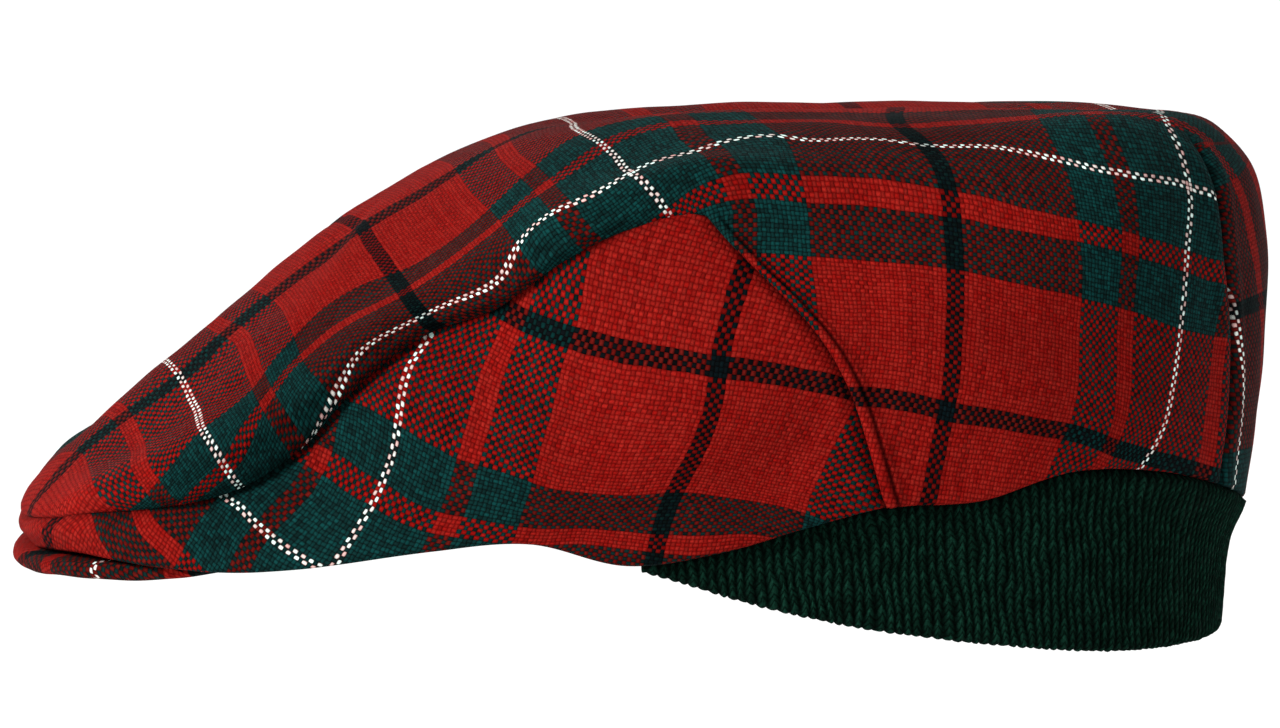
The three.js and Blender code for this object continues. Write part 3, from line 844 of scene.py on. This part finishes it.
# Cloth of a given thickness over the chosen cells of a grid, with rounded edges.
# Rows closed in a ring are given the same last and first row.
def shell(name, outer, normals, threads, thick, chosen, ring=False, closed_start=False):
    rows, columns = outer.shape[:2]
    count = rows * columns
    points, inward = outer.reshape(-1, 3), normals.reshape(-1, 3)
    cloth = threads.reshape(count, -1)
    a, b, c, d = cell_corners(np.arange(count).reshape(rows, columns))
    cells = np.stack([a, b, c, d], -1)[chosen]
    padded = np.pad(chosen, 1)
    if ring:
        padded[0, 1:-1] = chosen[-1]
        padded[-1, 1:-1] = chosen[0]
    before, after = padded[:-2, 1:-1], padded[2:, 1:-1]
    above, below = padded[1:-1, :-2].copy(), padded[1:-1, 2:]
    if closed_start:
        above[:, 0] = True
    edges = []
    for missing, p, q, within_p, within_q in ((~before, a, d, b, c), (~after, c, b, d, a),
                                              (~above, b, a, c, d), (~below, d, c, a, b)):
        on = chosen & missing
        edges.append(np.stack([p[on], q[on], within_p[on], within_q[on]], -1))
    edges = np.concatenate(edges)
    out = np.zeros((count, 3))
    cloth_out = np.zeros_like(cloth)
    hits = np.zeros(count)
    for end, within in ((0, 2), (1, 3)):
        step = points[edges[:, end]] - points[edges[:, within]]
        length = np.maximum(np.linalg.norm(step, axis=1, keepdims=True), 1e-6)
        np.add.at(out, edges[:, end], step / length)
        np.add.at(cloth_out, edges[:, end], (cloth[edges[:, end]] - cloth[edges[:, within]]) / length)
        np.add.at(hits, edges[:, end], 1)
    cloth_out /= np.maximum(hits, 1)[:, None]
    out = unit(out - inward * np.sum(out * inward, axis=1, keepdims=True))
    layers = [points]
    cloths = [cloth]
    middle = points - inward * thick / 2
    for k in range(1, EDGE_STEPS):
        angle = math.pi * k / EDGE_STEPS
        layers.append(middle + thick / 2 * (math.cos(angle) * inward + math.sin(angle) * out))
        cloths.append(cloth + cloth_out * thick / 2 * angle)
    layers.append(points - inward * thick)
    cloths.append(cloth + cloth_out * thick / 2 * math.pi)
    cloths.append(cloth)
    all_points = np.concatenate(layers)
    all_cloth = np.concatenate(cloths)
    last = EDGE_STEPS * count
    faces = [cells, cells[:, ::-1] + last]
    spots = [cells, cells[:, ::-1] + last + count]
    for k in range(EDGE_STEPS):
        p, q = edges[:, 0] + k * count, edges[:, 1] + k * count
        strip = np.stack([p, q, q + count, p + count], -1)
        faces.append(strip)
        spots.append(strip)
    return add_mesh(name, all_points, np.concatenate(faces), all_cloth[np.concatenate(spots)])


# Mesh object from points in millimetres, four-cornered faces and the cloth's threads at each corner
def add_mesh(name, points, faces, threads, uv_unit=None):
    used, faces = np.unique(faces, return_inverse=True)
    faces = faces.reshape(-1, 4)
    places = points[used]
    keys = np.round(places * 1000).astype(np.int64)
    _, first, joined = np.unique(keys, axis=0, return_index=True, return_inverse=True)
    faces = joined.reshape(-1)[faces]
    places = (places[first] - [HEAD_X, 0, HEAD_Z]) * MM
    polygons, corners, shades = [], [], []
    texture = threads[..., :2] / (uv_unit or THREADS_IN_UV)
    darkness = threads[..., 2:].reshape(len(threads), 4, -1)
    for face, spot, shade in zip(faces.tolist(), texture.tolist(), darkness.tolist()):
        kept = [k for k in range(4) if face[k] != face[k - 1]]
        if len(set(face)) < 3 or len(kept) != len(set(face)):
            continue
        polygons.append([face[k] for k in kept])
        corners += [spot[k] for k in kept]
        shades += [shade[k] for k in kept]
    mesh = bpy.data.meshes.new(name)
    mesh.from_pydata(places.tolist(), [], polygons)
    layer = mesh.uv_layers.new(name="Cloth")
    layer.data.foreach_set("uv", np.array(corners).ravel())
    if threads.shape[-1] > 2:
        layer = mesh.uv_layers.new(name="Shade")
        layer.data.foreach_set("uv", np.repeat(np.array(shades), 2, axis=-1).ravel())
    mesh.shade_smooth()
    mesh.update()
    piece = bpy.data.objects.new(name, mesh)
    bpy.context.scene.collection.objects.link(piece)
    return piece


# Lengths along the columns of a grid, from its first row
def lengths_along(points):
    steps = np.linalg.norm(np.diff(points, axis=0), axis=-1)
    return np.concatenate([np.zeros((1,) + steps.shape[1:]), np.cumsum(steps, axis=0)])


# Lengths along the rows of a grid, from its first column
def lengths_down(points):
    return lengths_along(points.transpose(1, 0, 2)).T


# Ribs from one to another at even steps along the crease or the rim, closer together at the seams
def spaced_ribs(first, last):
    fine = np.linspace(first, last, FINE_STEPS)
    run = crown_points(fine, PACED_LEVELS)
    pace = np.max(np.linalg.norm(np.diff(run, axis=0), axis=-1), axis=-1) / STEP
    middles = (fine[1:] + fine[:-1]) / 2
    for seam in (SEAM_RIB, DART_SEEN_RIB):
        pace += SEAM_CROWDING * bump(middles, seam, SEAM_CROWDING_REACH) * (fine[1] - fine[0])
    total = np.concatenate([[0], np.cumsum(pace)])
    return np.interp(np.linspace(0, total[-1], int(math.ceil(total[-1])) + 1), total, fine)


# Levels from the crease to the rim, closer together near both
def side_levels():
    side = np.linspace(0, 1, SIDE_STEPS)
    return 1 + side - SIDE_CROWDING * np.sin(2 * math.pi * side)


def fold_depth(ribs, levels):
    depth = 0
    for rib, level, rib_reach, level_reach, deep in zip(*FOLDS.values()):
        away = ((ribs - rib) / rib_reach) ** 2 + ((levels - level) / level_reach) ** 2
        depth = depth + deep * np.exp(-away)
    return depth


# Both halves of rows that are given from the centre line out
def whole(half, signs=1):
    return np.concatenate([half[:0:-1] * signs, half])


def wavy(points, depth, length, seed):
    return depth * waves(points, length, seed)


def soft_relief(points, seed):
    return sum(wavy(points, *size, seed + i) for i, size in enumerate(SOFT_WAVES))


def make_crown(chart):
    parts = [spaced_ribs(0, SEAM_RIB), spaced_ribs(SEAM_RIB, DART_SEEN_RIB)[1:],
             spaced_ribs(DART_SEEN_RIB, BACK_RIB)[1:]]
    ribs = np.concatenate(parts)
    share = np.linspace(0, 1, TOP_STEPS)
    levels = np.concatenate([1 - (1 - share) ** TOP_CROWDING, side_levels()[1:]])
    points = crown_points(ribs, levels)
    normals = whole(crown_normals(ribs, levels), MIRRORED)
    threads = whole(align_threads(chart, crown_threads(chart, ribs, levels)), (1, -1))

    # The lapped seam with its stitches, the dart, and the fold over the side
    run = lengths_along(points)
    seam_row = len(parts[0]) - 1
    dart_row = seam_row + len(parts[1])
    behind_seam = run - run[seam_row]
    from_dart = np.abs(run - run[dart_row])
    seam_share = smoothstep(levels, *SEAM_FADE_LEVELS) * (behind_seam >= -1e-6)
    dart_share = smoothstep(levels, *DART_FADE_LEVELS)
    lap = LAP_RISE * (1 - smoothstep(behind_seam, LAP_WIDTH, LAP_WIDTH + LAP_SLOPE))
    groove = STITCH_DEPTH * bump(behind_seam, LAP_WIDTH, STITCH_REACH)
    puff = DART_PUFF * bump(from_dart, DART_PUFF_AT, DART_PUFF_REACH)
    dart = puff - DART_DEPTH * bump(from_dart, 0, DART_REACH)
    down = lengths_down(points)
    above_crease = down[:, TOP_STEPS - 1, None] - down
    plump = FOLD_PLUMP * sharpness(ribs) * bump(above_crease, FOLD_PLUMP_ABOVE, FOLD_PLUMP_REACH)
    folds = fold_depth(ribs[:, None], levels)
    relief = (lap - groove) * seam_share + dart * dart_share + plump - folds
    shade = (STITCH_SHADE * bump(behind_seam, LAP_WIDTH, STITCH_SHADE_REACH) * seam_share
             + DART_SHADE * bump(from_dart, 0, DART_SHADE_REACH) * dart_share)
    points = whole(points, MIRRORED) + normals * whole(relief)[..., None]
    settle = soft_relief(points, CROWN_SEED)
    settle[-1] = settle[0]
    settle[:, 0] = (settle[:, 0] + settle[::-1, 0]) / 2
    points = points + normals * settle[..., None]

    # The threads of the cloth, which the dart parts at the back
    threads[..., 1] += SKEW_THREADS * (1 - smoothstep(points[..., 0], *SKEW_FROM_X))
    signed = whole(ribs, -1)[:, None]
    behind = np.abs(signed) > DART_SEEN_RIB + 1e-6
    shown = (levels <= 1) | (np.abs(signed) >= SEAM_RIB)
    front = nudge_threads(points, normals, threads, CROWN_MARKS, shown & ~behind, NEAR_PASSES)
    back = nudge_threads(points, normals, threads, BACK_MARKS, shown & behind, BACK_PASSES)
    past_dart = behind & (levels >= DART_FROM_LEVEL)
    threads = np.where(past_dart[..., None], back, front)
    threads = np.concatenate([threads, whole(shade)[..., None]], -1)
    middle = np.abs(signed[1:] + signed[:-1]) / 2
    chosen = (levels[1:] <= 1) | (middle > SEAM_RIB)
    return shell("crown_cloth", points, normals, threads, CLOTH, chosen, True, True)


# Turns and shifts a flat panel onto the grain of the cloth that the photograph shows
def laid_on_grain(points, normals, flat, shown):
    rows, wanted = [], []
    for marks, is_along in zip(PANEL_MARKS, (True, False)):
        _, found, threads = under_marks(points, normals, flat, marks, shown)
        for (u, v), thread in zip(found, threads):
            rows.append([u, v, 1, 0] if is_along else [v, -u, 0, 1])
            wanted.append(thread)
    cosine, sine, _, _ = np.linalg.lstsq(np.array(rows), np.array(wanted), rcond=None)[0]
    cosine, sine = cosine / math.hypot(cosine, sine), sine / math.hypot(cosine, sine)
    turned = np.stack([cosine * flat[..., 0] + sine * flat[..., 1],
                       cosine * flat[..., 1] - sine * flat[..., 0]], -1)
    for column, marks in enumerate(PANEL_MARKS):
        _, found, threads = under_marks(points, normals, turned, marks, shown)
        turned[..., column] += np.mean(threads - found[:, column])
    return turned


# Flat cloth of a side panel, at places of its grid
def flat_panel(ribs, levels):
    coarse_ribs = np.linspace(0, SEAM_RIB + PANEL_UNDER_SEAM, FLAT_PANEL_RIBS)
    coarse_levels = np.linspace(1, 2, FLAT_SIDE_LEVELS)
    coarse = crown_points(coarse_ribs, coarse_levels)
    number = np.arange(coarse[..., 0].size).reshape(coarse.shape[:2])
    a, b, c, d = (corner.ravel() for corner in cell_corners(number))
    triangles = np.concatenate([np.stack([a, b, c], -1), np.stack([a, c, d], -1)])
    along = lengths_along(coarse)[:, FLAT_SIDE_LEVELS // 2, None] + 0 * coarse[..., 0]
    guess = np.stack([along, lengths_down(coarse)], -1)
    flat = lay_flat(coarse.reshape(-1, 3), triangles, guess.reshape(-1, 2), np.full(number.size, FREE))
    return np.einsum("ri,ijk,lj->rlk", spline_weights(coarse_ribs, ribs), flat.reshape(guess.shape),
                     spline_weights(coarse_levels, levels))


def make_panels():
    ribs = spaced_ribs(0, SEAM_RIB + PANEL_UNDER_SEAM)
    levels = side_levels()
    points = crown_points(ribs, levels)
    normals = crown_normals(ribs, levels)
    run = lengths_along(points)
    seam_run = np.array([np.interp(SEAM_RIB, ribs, column) for column in run.T])
    to_seam = np.maximum(seam_run - run, 0)
    below = lengths_down(points)
    sharp = np.maximum(sharpness(ribs), 1 - smoothstep(ribs, *SMOOTH_LIP_RIBS)[:, None])
    tuck = PANEL_TUCK * np.maximum(1 - smoothstep(to_seam, 0, PANEL_TUCK_REACH),
                                   sharp * (1 - smoothstep(below, 0, PANEL_TUCK_REACH)))
    points = points - normals * (tuck + fold_depth(ribs[:, None], levels))[..., None]
    near_points, near_normals = points * MIRRORED, normals * MIRRORED
    shown = np.ones(points.shape[:2], bool)
    threads = laid_on_grain(near_points, near_normals, flat_panel(ribs, levels), shown)
    threads = nudge_threads(near_points, near_normals, threads, PANEL_MARKS, shown, NEAR_PASSES)
    shade = np.maximum(SEAM_SHADE * (1 - smoothstep(to_seam, 0, SEAM_SHADE_REACH)),
                       CREASE_SHADE * sharp * (1 - smoothstep(below, 0, CREASE_SHADE_REACH)))
    threads = np.concatenate([threads, shade[..., None]], -1)
    chosen = np.ones((len(ribs) - 1, len(levels) - 1), bool)
    sides = [("side_panel_cloth_left", near_points[::-1], near_normals[::-1], threads[::-1], 21),
             ("side_panel_cloth_right", points, normals, threads, 33)]
    made = []
    for name, own_points, own_normals, own_threads, seed in sides:
        own_points = own_points + own_normals * soft_relief(own_points, seed)[..., None]
        made.append(shell(name, own_points, own_normals, own_threads, CLOTH, chosen))
    return made


def peak_underside(x, y, share):
    edge = curve_at(PEAK_LINE["x"], PEAK_LINE["z"], x)
    return edge + PEAK_ARCH * share * (1 - (y / OPENING_HALF_WIDTH) ** 2)


# Threads of the peak's cloth at places on its flat plan
def peak_threads(place):
    x, y = place[..., 0] - PEAK_CHECK_X, place[..., 1]
    cosine, sine = math.cos(PEAK_TURN), math.sin(PEAK_TURN)
    return np.stack([x * cosine + y * sine + PEAK_CHECK_ALONG,
                     y * cosine - x * sine + PEAK_CHECK_ACROSS], -1)


def make_peak():
    half = spaced_ribs(0, PEAK_LAST_RIB)
    shares = (1 - np.cos(np.linspace(0, math.pi, PEAK_COLUMNS))) / 2
    outside = curve_at(PEAK_EDGE["rib"], PEAK_EDGE["outside"], half)[:, None]
    outer = (rim_points(half) + outward(half) * outside)[:, :2]
    turn = PEAK_END_TURN * half / PEAK_LAST_RIB
    inner_x = OPENING_X - OPENING_HALF_LENGTH * np.cos(turn)
    inner = np.stack([inner_x, OPENING_HALF_WIDTH * np.sin(turn)], -1)
    width = np.linalg.norm(inner - outer, axis=-1)[:, None]
    plan = outer[:, None] + (inner - outer)[:, None] * shares[:, None]

    # Top and underside, which meet in a half round at the edge
    from_edge = np.minimum(shares, 1 - shares) * width
    round_part = 1 - np.clip(from_edge / (PEAK_THICK / 2), 0, 1)
    thick = PEAK_THICK / 2 * np.sqrt(np.maximum(1 - round_part ** 2, 0))
    middle = peak_underside(plan[..., 0], plan[..., 1], shares) + PEAK_THICK / 2
    top = np.concatenate([plan, (middle + thick)[..., None]], -1)
    bottom = np.concatenate([plan, (middle - thick)[..., None]], -1)
    loop = np.concatenate([top[:, ::-1], bottom[:, 1:-1]], 1)

    # The cloth wraps round the edge, and lies flat elsewhere
    edge_column = PEAK_COLUMNS - 1
    run = lengths_down(loop)
    past_edge = (run - run[:, edge_column, None])[..., None]
    wrapped = outer[:, None] + unit(outer - inner)[:, None] * past_edge
    grid = np.concatenate([loop[::-1] * MIRRORED, loop[1:]])
    wrapped = np.concatenate([wrapped[::-1] * (1, -1), wrapped[1:]])
    column = np.arange(loop.shape[1])
    following = np.roll(column, -1)
    wraps = (column < following) & (following <= edge_column + PEAK_WRAP_COLUMNS)
    threads = np.where(wraps[None, :, None, None], loop_corners(peak_threads(wrapped)),
                       loop_corners(peak_threads(grid)))
    faces = loop_corners(np.arange(grid[..., 0].size).reshape(grid.shape[:2]))
    grid[..., 2] += wavy(grid, *PEAK_WAVES)
    return add_mesh("peak_cloth", grid.reshape(-1, 3), faces.reshape(-1, 4), threads.reshape(-1, 4, 2))


def make_band():
    half = np.linspace(HEM["rib"][0], BACK_RIB, BAND_FINE_STEPS)
    length = lengths_along(rim_points(half))
    total = length[-1]
    count = int(round(2 * total / KNIT_PITCH)) * KNIT_SAMPLES
    place = np.linspace(0, 2 * total, count + 1)[:, None]
    ribs = np.interp(np.minimum(place, 2 * total - place)[:, 0], length, half)
    side = np.where(place < total, -1, 1)
    rim = rim_points(ribs)
    out = outward(ribs)[:, None]

    # Outer face, round hem and inner face of the band: how far inside the rim they lie, and how high
    rim_z = rim[:, 2, None]
    top_z = rim_z + TUCKED_IN
    hem_z = curve_at(HEM["rib"], HEM["z"], ribs)[:, None]
    inward = curve_at(HEM["rib"], HEM["inward"], ribs)[:, None]
    hem_round = KNIT_THICK / 2
    z = top_z + (hem_z + hem_round - top_z) * np.linspace(0, 1, BAND_ROWS)
    under_rim = rim_z - z
    below = np.clip(under_rim / (rim_z - hem_z), 0, 1)
    swell_share = smoothstep(ribs, *KNIT_SWELL_RIBS)[:, None] * smoothstep(under_rim, *KNIT_SWELL_FADE)
    swell = KNIT_SWELL * swell_share * bump(under_rim, KNIT_SWELL_BELOW, KNIT_SWELL_REACH)
    depth = BAND_INSIDE_RIM + inward * below - swell
    angles = np.linspace(0, math.pi, BAND_HEM_STEPS + 2)[1:-1]
    hem_depth = BAND_INSIDE_RIM + inward + hem_round * (1 - np.cos(angles))
    hem_low = hem_z + hem_round * (1 - np.sin(angles))
    depths = np.concatenate([depth, hem_depth, depth[:, ::-2] + KNIT_THICK], 1)
    heights = np.concatenate([z, hem_low, z[:, ::-2]], 1)
    points = rim[:, None] - out * depths[..., None]
    points[..., 2] = heights
    points[..., 1] *= side
    rows = points.shape[1]

    # Ribs and stitches of the knit, which stand out from both faces
    lean = KNIT_LEAN * heights * -side + sum(wavy(points, *size) for size in RIB_WAVES)
    phase = (place + lean) / KNIT_PITCH
    crest = np.abs(np.cos(math.pi * phase)) ** CREST_ROUNDNESS - CREST_MIDDLE
    faces_out = np.concatenate([np.tile(out, (1, BAND_ROWS, 1)), out * np.cos(angles)[:, None],
                                np.tile(-out, (1, BAND_INNER_ROWS, 1))], 1)
    faces_out[:, BAND_ROWS:-BAND_INNER_ROWS, 2] = -np.sin(angles)
    outer_sign = np.ones(rows)
    outer_sign[-BAND_INNER_ROWS:] = -1
    relief = KNIT_DEPTH * crest * (CREST_USUAL + wavy(points, *CREST_WAVES))
    push = faces_out * (relief + wavy(points, *BAND_WAVES) * outer_sign)[..., None]
    push[..., 1] *= side
    shade = np.zeros_like(phase)
    shade[:, :BAND_ROWS] = RIM_SHADE * (1 - smoothstep(under_rim, 0, RIM_SHADE_REACH))
    knit = np.stack([phase, lengths_down(points) / STITCH_PITCH, shade], -1)

    # Faces, with the two front ends closed
    number = np.arange(phase.size).reshape(phase.shape)
    ends = []
    for row, flip in ((0, 1), (-1, -1)):
        for j in range(1, rows // 2):
            ends.append([number[row, k] for k in (j - 1, rows - j, rows - 1 - j, j)][::flip])
    faces = np.concatenate([loop_corners(number).reshape(-1, 4), ends])
    texture = np.concatenate([loop_corners(knit).reshape(-1, 4, 3), np.zeros((len(ends), 4, 3))])
    return add_mesh("ear_band_knit", (points + push).reshape(-1, 3), faces, texture, 1)


# A material and short ways to add its nodes
class Surface:
    def __init__(self, name):
        self.material = bpy.data.materials.new(name)
        self.material.use_nodes = True
        self.tree = self.material.node_tree
        self.shader = self.tree.nodes["Principled BSDF"]

    def feed(self, socket, value):
        if isinstance(value, bpy.types.NodeSocket):
            self.tree.links.new(value, socket)
        else:
            socket.default_value = value

    def math(self, operation, first, second=0.5, third=0.5):
        node = self.tree.nodes.new("ShaderNodeMath")
        node.operation = operation
        for socket, value in zip(node.inputs, (first, second, third)):
            self.feed(socket, value)
        return node.outputs[0]

    def mix(self, share, first, second, blend="MIX"):
        node = self.tree.nodes.new("ShaderNodeMix")
        node.data_type = "RGBA"
        node.blend_type = blend
        for socket, value in ((node.inputs[0], share), (node.inputs[6], first), (node.inputs[7], second)):
            self.feed(socket, value)
        return node.outputs[2]

    # Makes a colour lighter or darker by a value that a ramp turns into factors
    def tinted(self, color, value, stops):
        return self.mix(1.0, color, self.ramp(value, stops), "MULTIPLY")

    def red_and_green(self, color):
        split = self.tree.nodes.new("ShaderNodeSeparateColor")
        self.tree.links.new(color, split.inputs[0])
        return split.outputs[0], split.outputs[1]

    # 1 where two colours differ in red or green, 0 where they are alike
    def contrast(self, first, second):
        total = 0.0
        for one, other, step in zip(self.red_and_green(first), self.red_and_green(second),
                                    (RED_STEP, GREEN_STEP)):
            apart = self.math("ABSOLUTE", self.math("SUBTRACT", one, other))
            total = self.math("MULTIPLY_ADD", apart, 1 / step, total)
        return self.math("MINIMUM", total, 1.0)

    # Paints shade on coloured yarns where they are mixed with others, and leaves white ones as they are
    def shaded(self, color, crossing_shade, factors):
        white = self.math("GREATER_THAN", self.red_and_green(color)[1], WHITE_STEP)
        coloured = self.math("MULTIPLY", crossing_shade, self.math("SUBTRACT", 1.0, white))
        return self.tinted(color, coloured, [(0, 1), (1, factors)])

    # Noise that lies up to half its size below and above 0
    def wobble(self, place, scale, size):
        return self.math("MULTIPLY_ADD", self.noise(place, scale), size, -size / 2)

    def place(self):
        return self.tree.nodes.new("ShaderNodeTexCoord").outputs["Object"]

    # The two numbers of a named layer of the mesh
    def layer(self, name):
        node = self.tree.nodes.new("ShaderNodeUVMap")
        node.uv_map = name
        split = self.tree.nodes.new("ShaderNodeSeparateXYZ")
        self.tree.links.new(node.outputs[0], split.inputs[0])
        return split.outputs[0], split.outputs[1]

    def joined(self, x, y, z=0.0):
        node = self.tree.nodes.new("ShaderNodeCombineXYZ")
        for socket, value in zip(node.inputs, (x, y, z)):
            self.feed(socket, value)
        return node.outputs[0]

    def noise(self, place, scale, detail=2.0, rough=0.5):
        node = self.tree.nodes.new("ShaderNodeTexNoise")
        self.feed(node.inputs["Vector"], place)
        node.inputs["Scale"].default_value = scale
        node.inputs["Detail"].default_value = detail
        node.inputs["Roughness"].default_value = rough
        return node.outputs[0]

    def random(self, x, y, z=0.0):
        node = self.tree.nodes.new("ShaderNodeTexWhiteNoise")
        node.noise_dimensions = "3D"
        self.feed(node.inputs["Vector"], self.joined(x, y, z))
        return node.outputs["Value"]

    def ramp(self, value, stops, interpolation="LINEAR"):
        node = self.tree.nodes.new("ShaderNodeValToRGB")
        node.color_ramp.interpolation = interpolation
        elements = node.color_ramp.elements
        while len(elements) < len(stops):
            elements.new(1.0)
        for element, (at, color) in zip(elements, stops):
            element.position = at
            element.color = (*(color if isinstance(color, tuple) else (color,) * 3), 1)
        self.feed(node.inputs[0], value)
        return node.outputs[0]

    def bump(self, height, strength, distance):
        node = self.tree.nodes.new("ShaderNodeBump")
        node.inputs["Strength"].default_value = strength
        node.inputs["Distance"].default_value = distance
        self.feed(node.inputs["Height"], height)
        return node.outputs[0]

    def finish(self, color, rough, normal, specular):
        self.feed(self.shader.inputs["Base Color"], color)
        self.feed(self.shader.inputs["Roughness"], rough)
        self.feed(self.shader.inputs["Normal"], normal)
        self.shader.inputs["Specular IOR Level"].default_value = specular
        return self.material


def tartan():
    surface = Surface("tartan_cloth")
    math_node = surface.math
    place = surface.place()
    along, across = surface.layer("Cloth")
    along = math_node("MULTIPLY_ADD", along, THREADS_IN_UV, surface.wobble(place, *SWAY))
    across = math_node("MULTIPLY_ADD", across, THREADS_IN_UV, surface.wobble(place, *DRIFT))
    along_index = math_node("FLOOR", along)
    across_index = math_node("FLOOR", across)

    def yarn(index, seed, lighting_gain):
        folded = math_node("PINGPONG", math_node("ADD", index, 0.5), HALF_SETT)
        stops = [(at / HALF_SETT, YARNS[name]) for name, at in SETT_STOPS]
        color = surface.ramp(math_node("DIVIDE", folded, HALF_SETT), stops, "CONSTANT")
        least, most = YARN_RANGE
        return surface.tinted(color, surface.random(index, seed), [(0, least * lighting_gain), (1, most * lighting_gain)])

    # A thread arches over the ones that it crosses, and is round across its own width
    def arch(value):
        return math_node("SINE", math_node("MULTIPLY", math_node("FRACT", value), math.pi))

    def risen(width, length):
        return math_node("MULTIPLY", width, math_node("MULTIPLY_ADD", length, ARCH_SHARE, 1 - ARCH_SHARE))

    # Painted light makes the lengthwise threads a little lighter than the crosswise ones
    crosswise = yarn(along_index, 3.0, CROSSWISE_LIGHTING_GAIN)
    lengthwise = yarn(across_index, 8.0, LENGTHWISE_LIGHTING_GAIN)
    over = math_node("FLOORED_MODULO", math_node("ADD", along_index, across_index), 2)
    arch_along, arch_across = arch(along), arch(across)
    lengthwise_height = risen(arch_across, arch_along)
    above = math_node("SUBTRACT", risen(arch_along, arch_across), lengthwise_height)
    height = math_node("MULTIPLY_ADD", over, above, lengthwise_height)
    # Painted shade on threads where two colours cross, and more on lengthwise ones beside black
    crossing_shade = surface.contrast(crosswise, lengthwise)
    crosswise = surface.shaded(crosswise, crossing_shade, CROSSWISE_MIXED_SHADE)
    lengthwise = surface.shaded(lengthwise, crossing_shade, LENGTHWISE_MIXED_SHADE)
    black = math_node("LESS_THAN", math_node("ADD", *surface.red_and_green(crosswise)), BLACK_STEP)
    lengthwise = surface.tinted(lengthwise, black, [(0, 1), (1, BESIDE_BLACK_SHADE)])
    bare = surface.mix(over, lengthwise, crosswise)
    fuzz = surface.noise(place, *CLOTH_FUZZ)
    # Tints of each tuft, painted shade in the gaps of the weave and painted highlight on the tops of
    # threads, worn patches, fuzz and the painted shade layer
    tints = [(surface.random(along_index, across_index, 5.0), TUFT_TINTS), (height, HEIGHT_SHADE_AND_HIGHLIGHT_TINTS),
             (surface.noise(place, *PATCHES), PATCH_TINTS), (fuzz, FUZZ_TINTS),
             (surface.layer("Shade")[0], SHADE_TINTS)]
    color = bare
    for value, stops in tints:
        color = surface.tinted(color, value, stops)
    # Painted shade darkens white threads where they dip under others, so they show as small dots
    white = math_node("GREATER_THAN", surface.red_and_green(bare)[1], WHITE_STEP)
    color = surface.mix(white, color, surface.tinted(color, height, WHITE_TUFT_SHADE_TINTS))
    normal = surface.bump(math_node("MULTIPLY_ADD", fuzz, CLOTH_FUZZ_HEIGHT, height), *CLOTH_BUMP)
    rough = math_node("MULTIPLY_ADD", fuzz, CLOTH_ROUGH_BY_FUZZ, CLOTH_ROUGH)
    return surface.finish(color, rough, normal, CLOTH_GLOSS)


def ribbed_knit():
    surface = Surface("knit_rib")
    math_node = surface.math
    place = surface.place()
    rib, row = surface.layer("Cloth")
    rib = math_node("ADD", rib, 0.5)
    off_middle = math_node("ABSOLUTE", math_node("SUBTRACT", math_node("FRACT", rib), 0.5))
    slanted = math_node("MULTIPLY_ADD", off_middle, -2.0, row)
    row = math_node("ADD", slanted, surface.wobble(place, *KNIT_WOBBLE))
    arch = math_node("SINE", math_node("MULTIPLY", math_node("FRACT", row), math.pi))
    loop = math_node("POWER", arch, LOOP_ROUNDNESS)
    ridge = math_node("MULTIPLY_ADD", off_middle, -2.0, 1.0)
    height = math_node("MULTIPLY", math_node("MULTIPLY_ADD", loop, LOOP_SHARE, 1 - LOOP_SHARE), ridge)
    fuzz = surface.noise(place, *KNIT_FUZZ)
    stitch = surface.random(math_node("FLOOR", rib), math_node("FLOOR", row), 2.0)
    # Painted highlight on the ridges of the ribs and painted shade in the valleys between them
    color = surface.ramp(off_middle, [(0.1, KNIT_RIDGE_LIT), (0.4, KNIT_VALLEY_SHADED)])
    # Painted shade between stitches, then tints of each stitch, fuzz and the painted shade under the rim
    for value, stops in ((loop, LOOP_SHADE_TINTS), (stitch, STITCH_TINTS), (fuzz, KNIT_FUZZ_TINTS),
                         (surface.layer("Shade")[0], SHADE_TINTS)):
        color = surface.tinted(color, value, stops)
    normal = surface.bump(math_node("MULTIPLY_ADD", fuzz, KNIT_FUZZ_HEIGHT, height), *KNIT_BUMP)
    return surface.finish(color, KNIT_ROUGH, normal, KNIT_GLOSS)


def dress(piece, material, node):
    piece.data.materials.append(material)
    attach(piece, "root")
    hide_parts(node)


def make_floor():
    surface = Surface("pale_floor")
    shade = surface.noise(surface.place(), *FLOOR_NOISE)
    color = surface.ramp(shade, FLOOR_TONES)
    surface.feed(surface.shader.inputs["Base Color"], color)
    surface.shader.inputs["Roughness"].default_value = FLOOR_ROUGH
    mesh = bpy.data.meshes.new("floor")
    reach = FLOOR_REACH
    corners = [(-reach, -reach), (reach, -reach), (reach, reach), (-reach, reach)]
    mesh.from_pydata([(x, y, FLOOR_Z) for x, y in corners], [], [(0, 1, 2, 3)])
    mesh.materials.append(surface.material)
    floor = bpy.data.objects.new("floor", mesh)
    bpy.context.scene.collection.objects.link(floor)


def make_light(name, place, size, power):
    data = bpy.data.lights.new(name, "AREA")
    data.shape = "DISK"
    data.size = size
    data.energy = power
    light = bpy.data.objects.new(name, data)
    light.location = place
    light.rotation_euler = (CAP_MIDDLE - Vector(place)).to_track_quat("-Z", "Y").to_euler()
    bpy.context.scene.collection.objects.link(light)


def light_scene():
    world = bpy.data.worlds.new("world")
    world.use_nodes = True
    world.node_tree.nodes["Background"].inputs[0].default_value = (1, 1, 1, 1)
    world.node_tree.nodes["Background"].inputs[1].default_value = WORLD_LIGHT
    bpy.context.scene.world = world
    make_light("key", KEY_PLACE, KEY_SIZE, KEY_LIGHT)
    bpy.context.scene.view_settings.view_transform = "Standard"
    bpy.context.scene.view_settings.look = "None"


chart = flat_crown()
cloth = tartan()
dress(make_crown(chart), cloth, "crown_top")
left_panel, right_panel = make_panels()
dress(left_panel, cloth, "side_panel_left")
dress(right_panel, cloth, "side_panel_right")
dress(make_peak(), cloth, "peak")
dress(make_band(), ribbed_knit(), "ear_band")
make_floor()
light_scene()
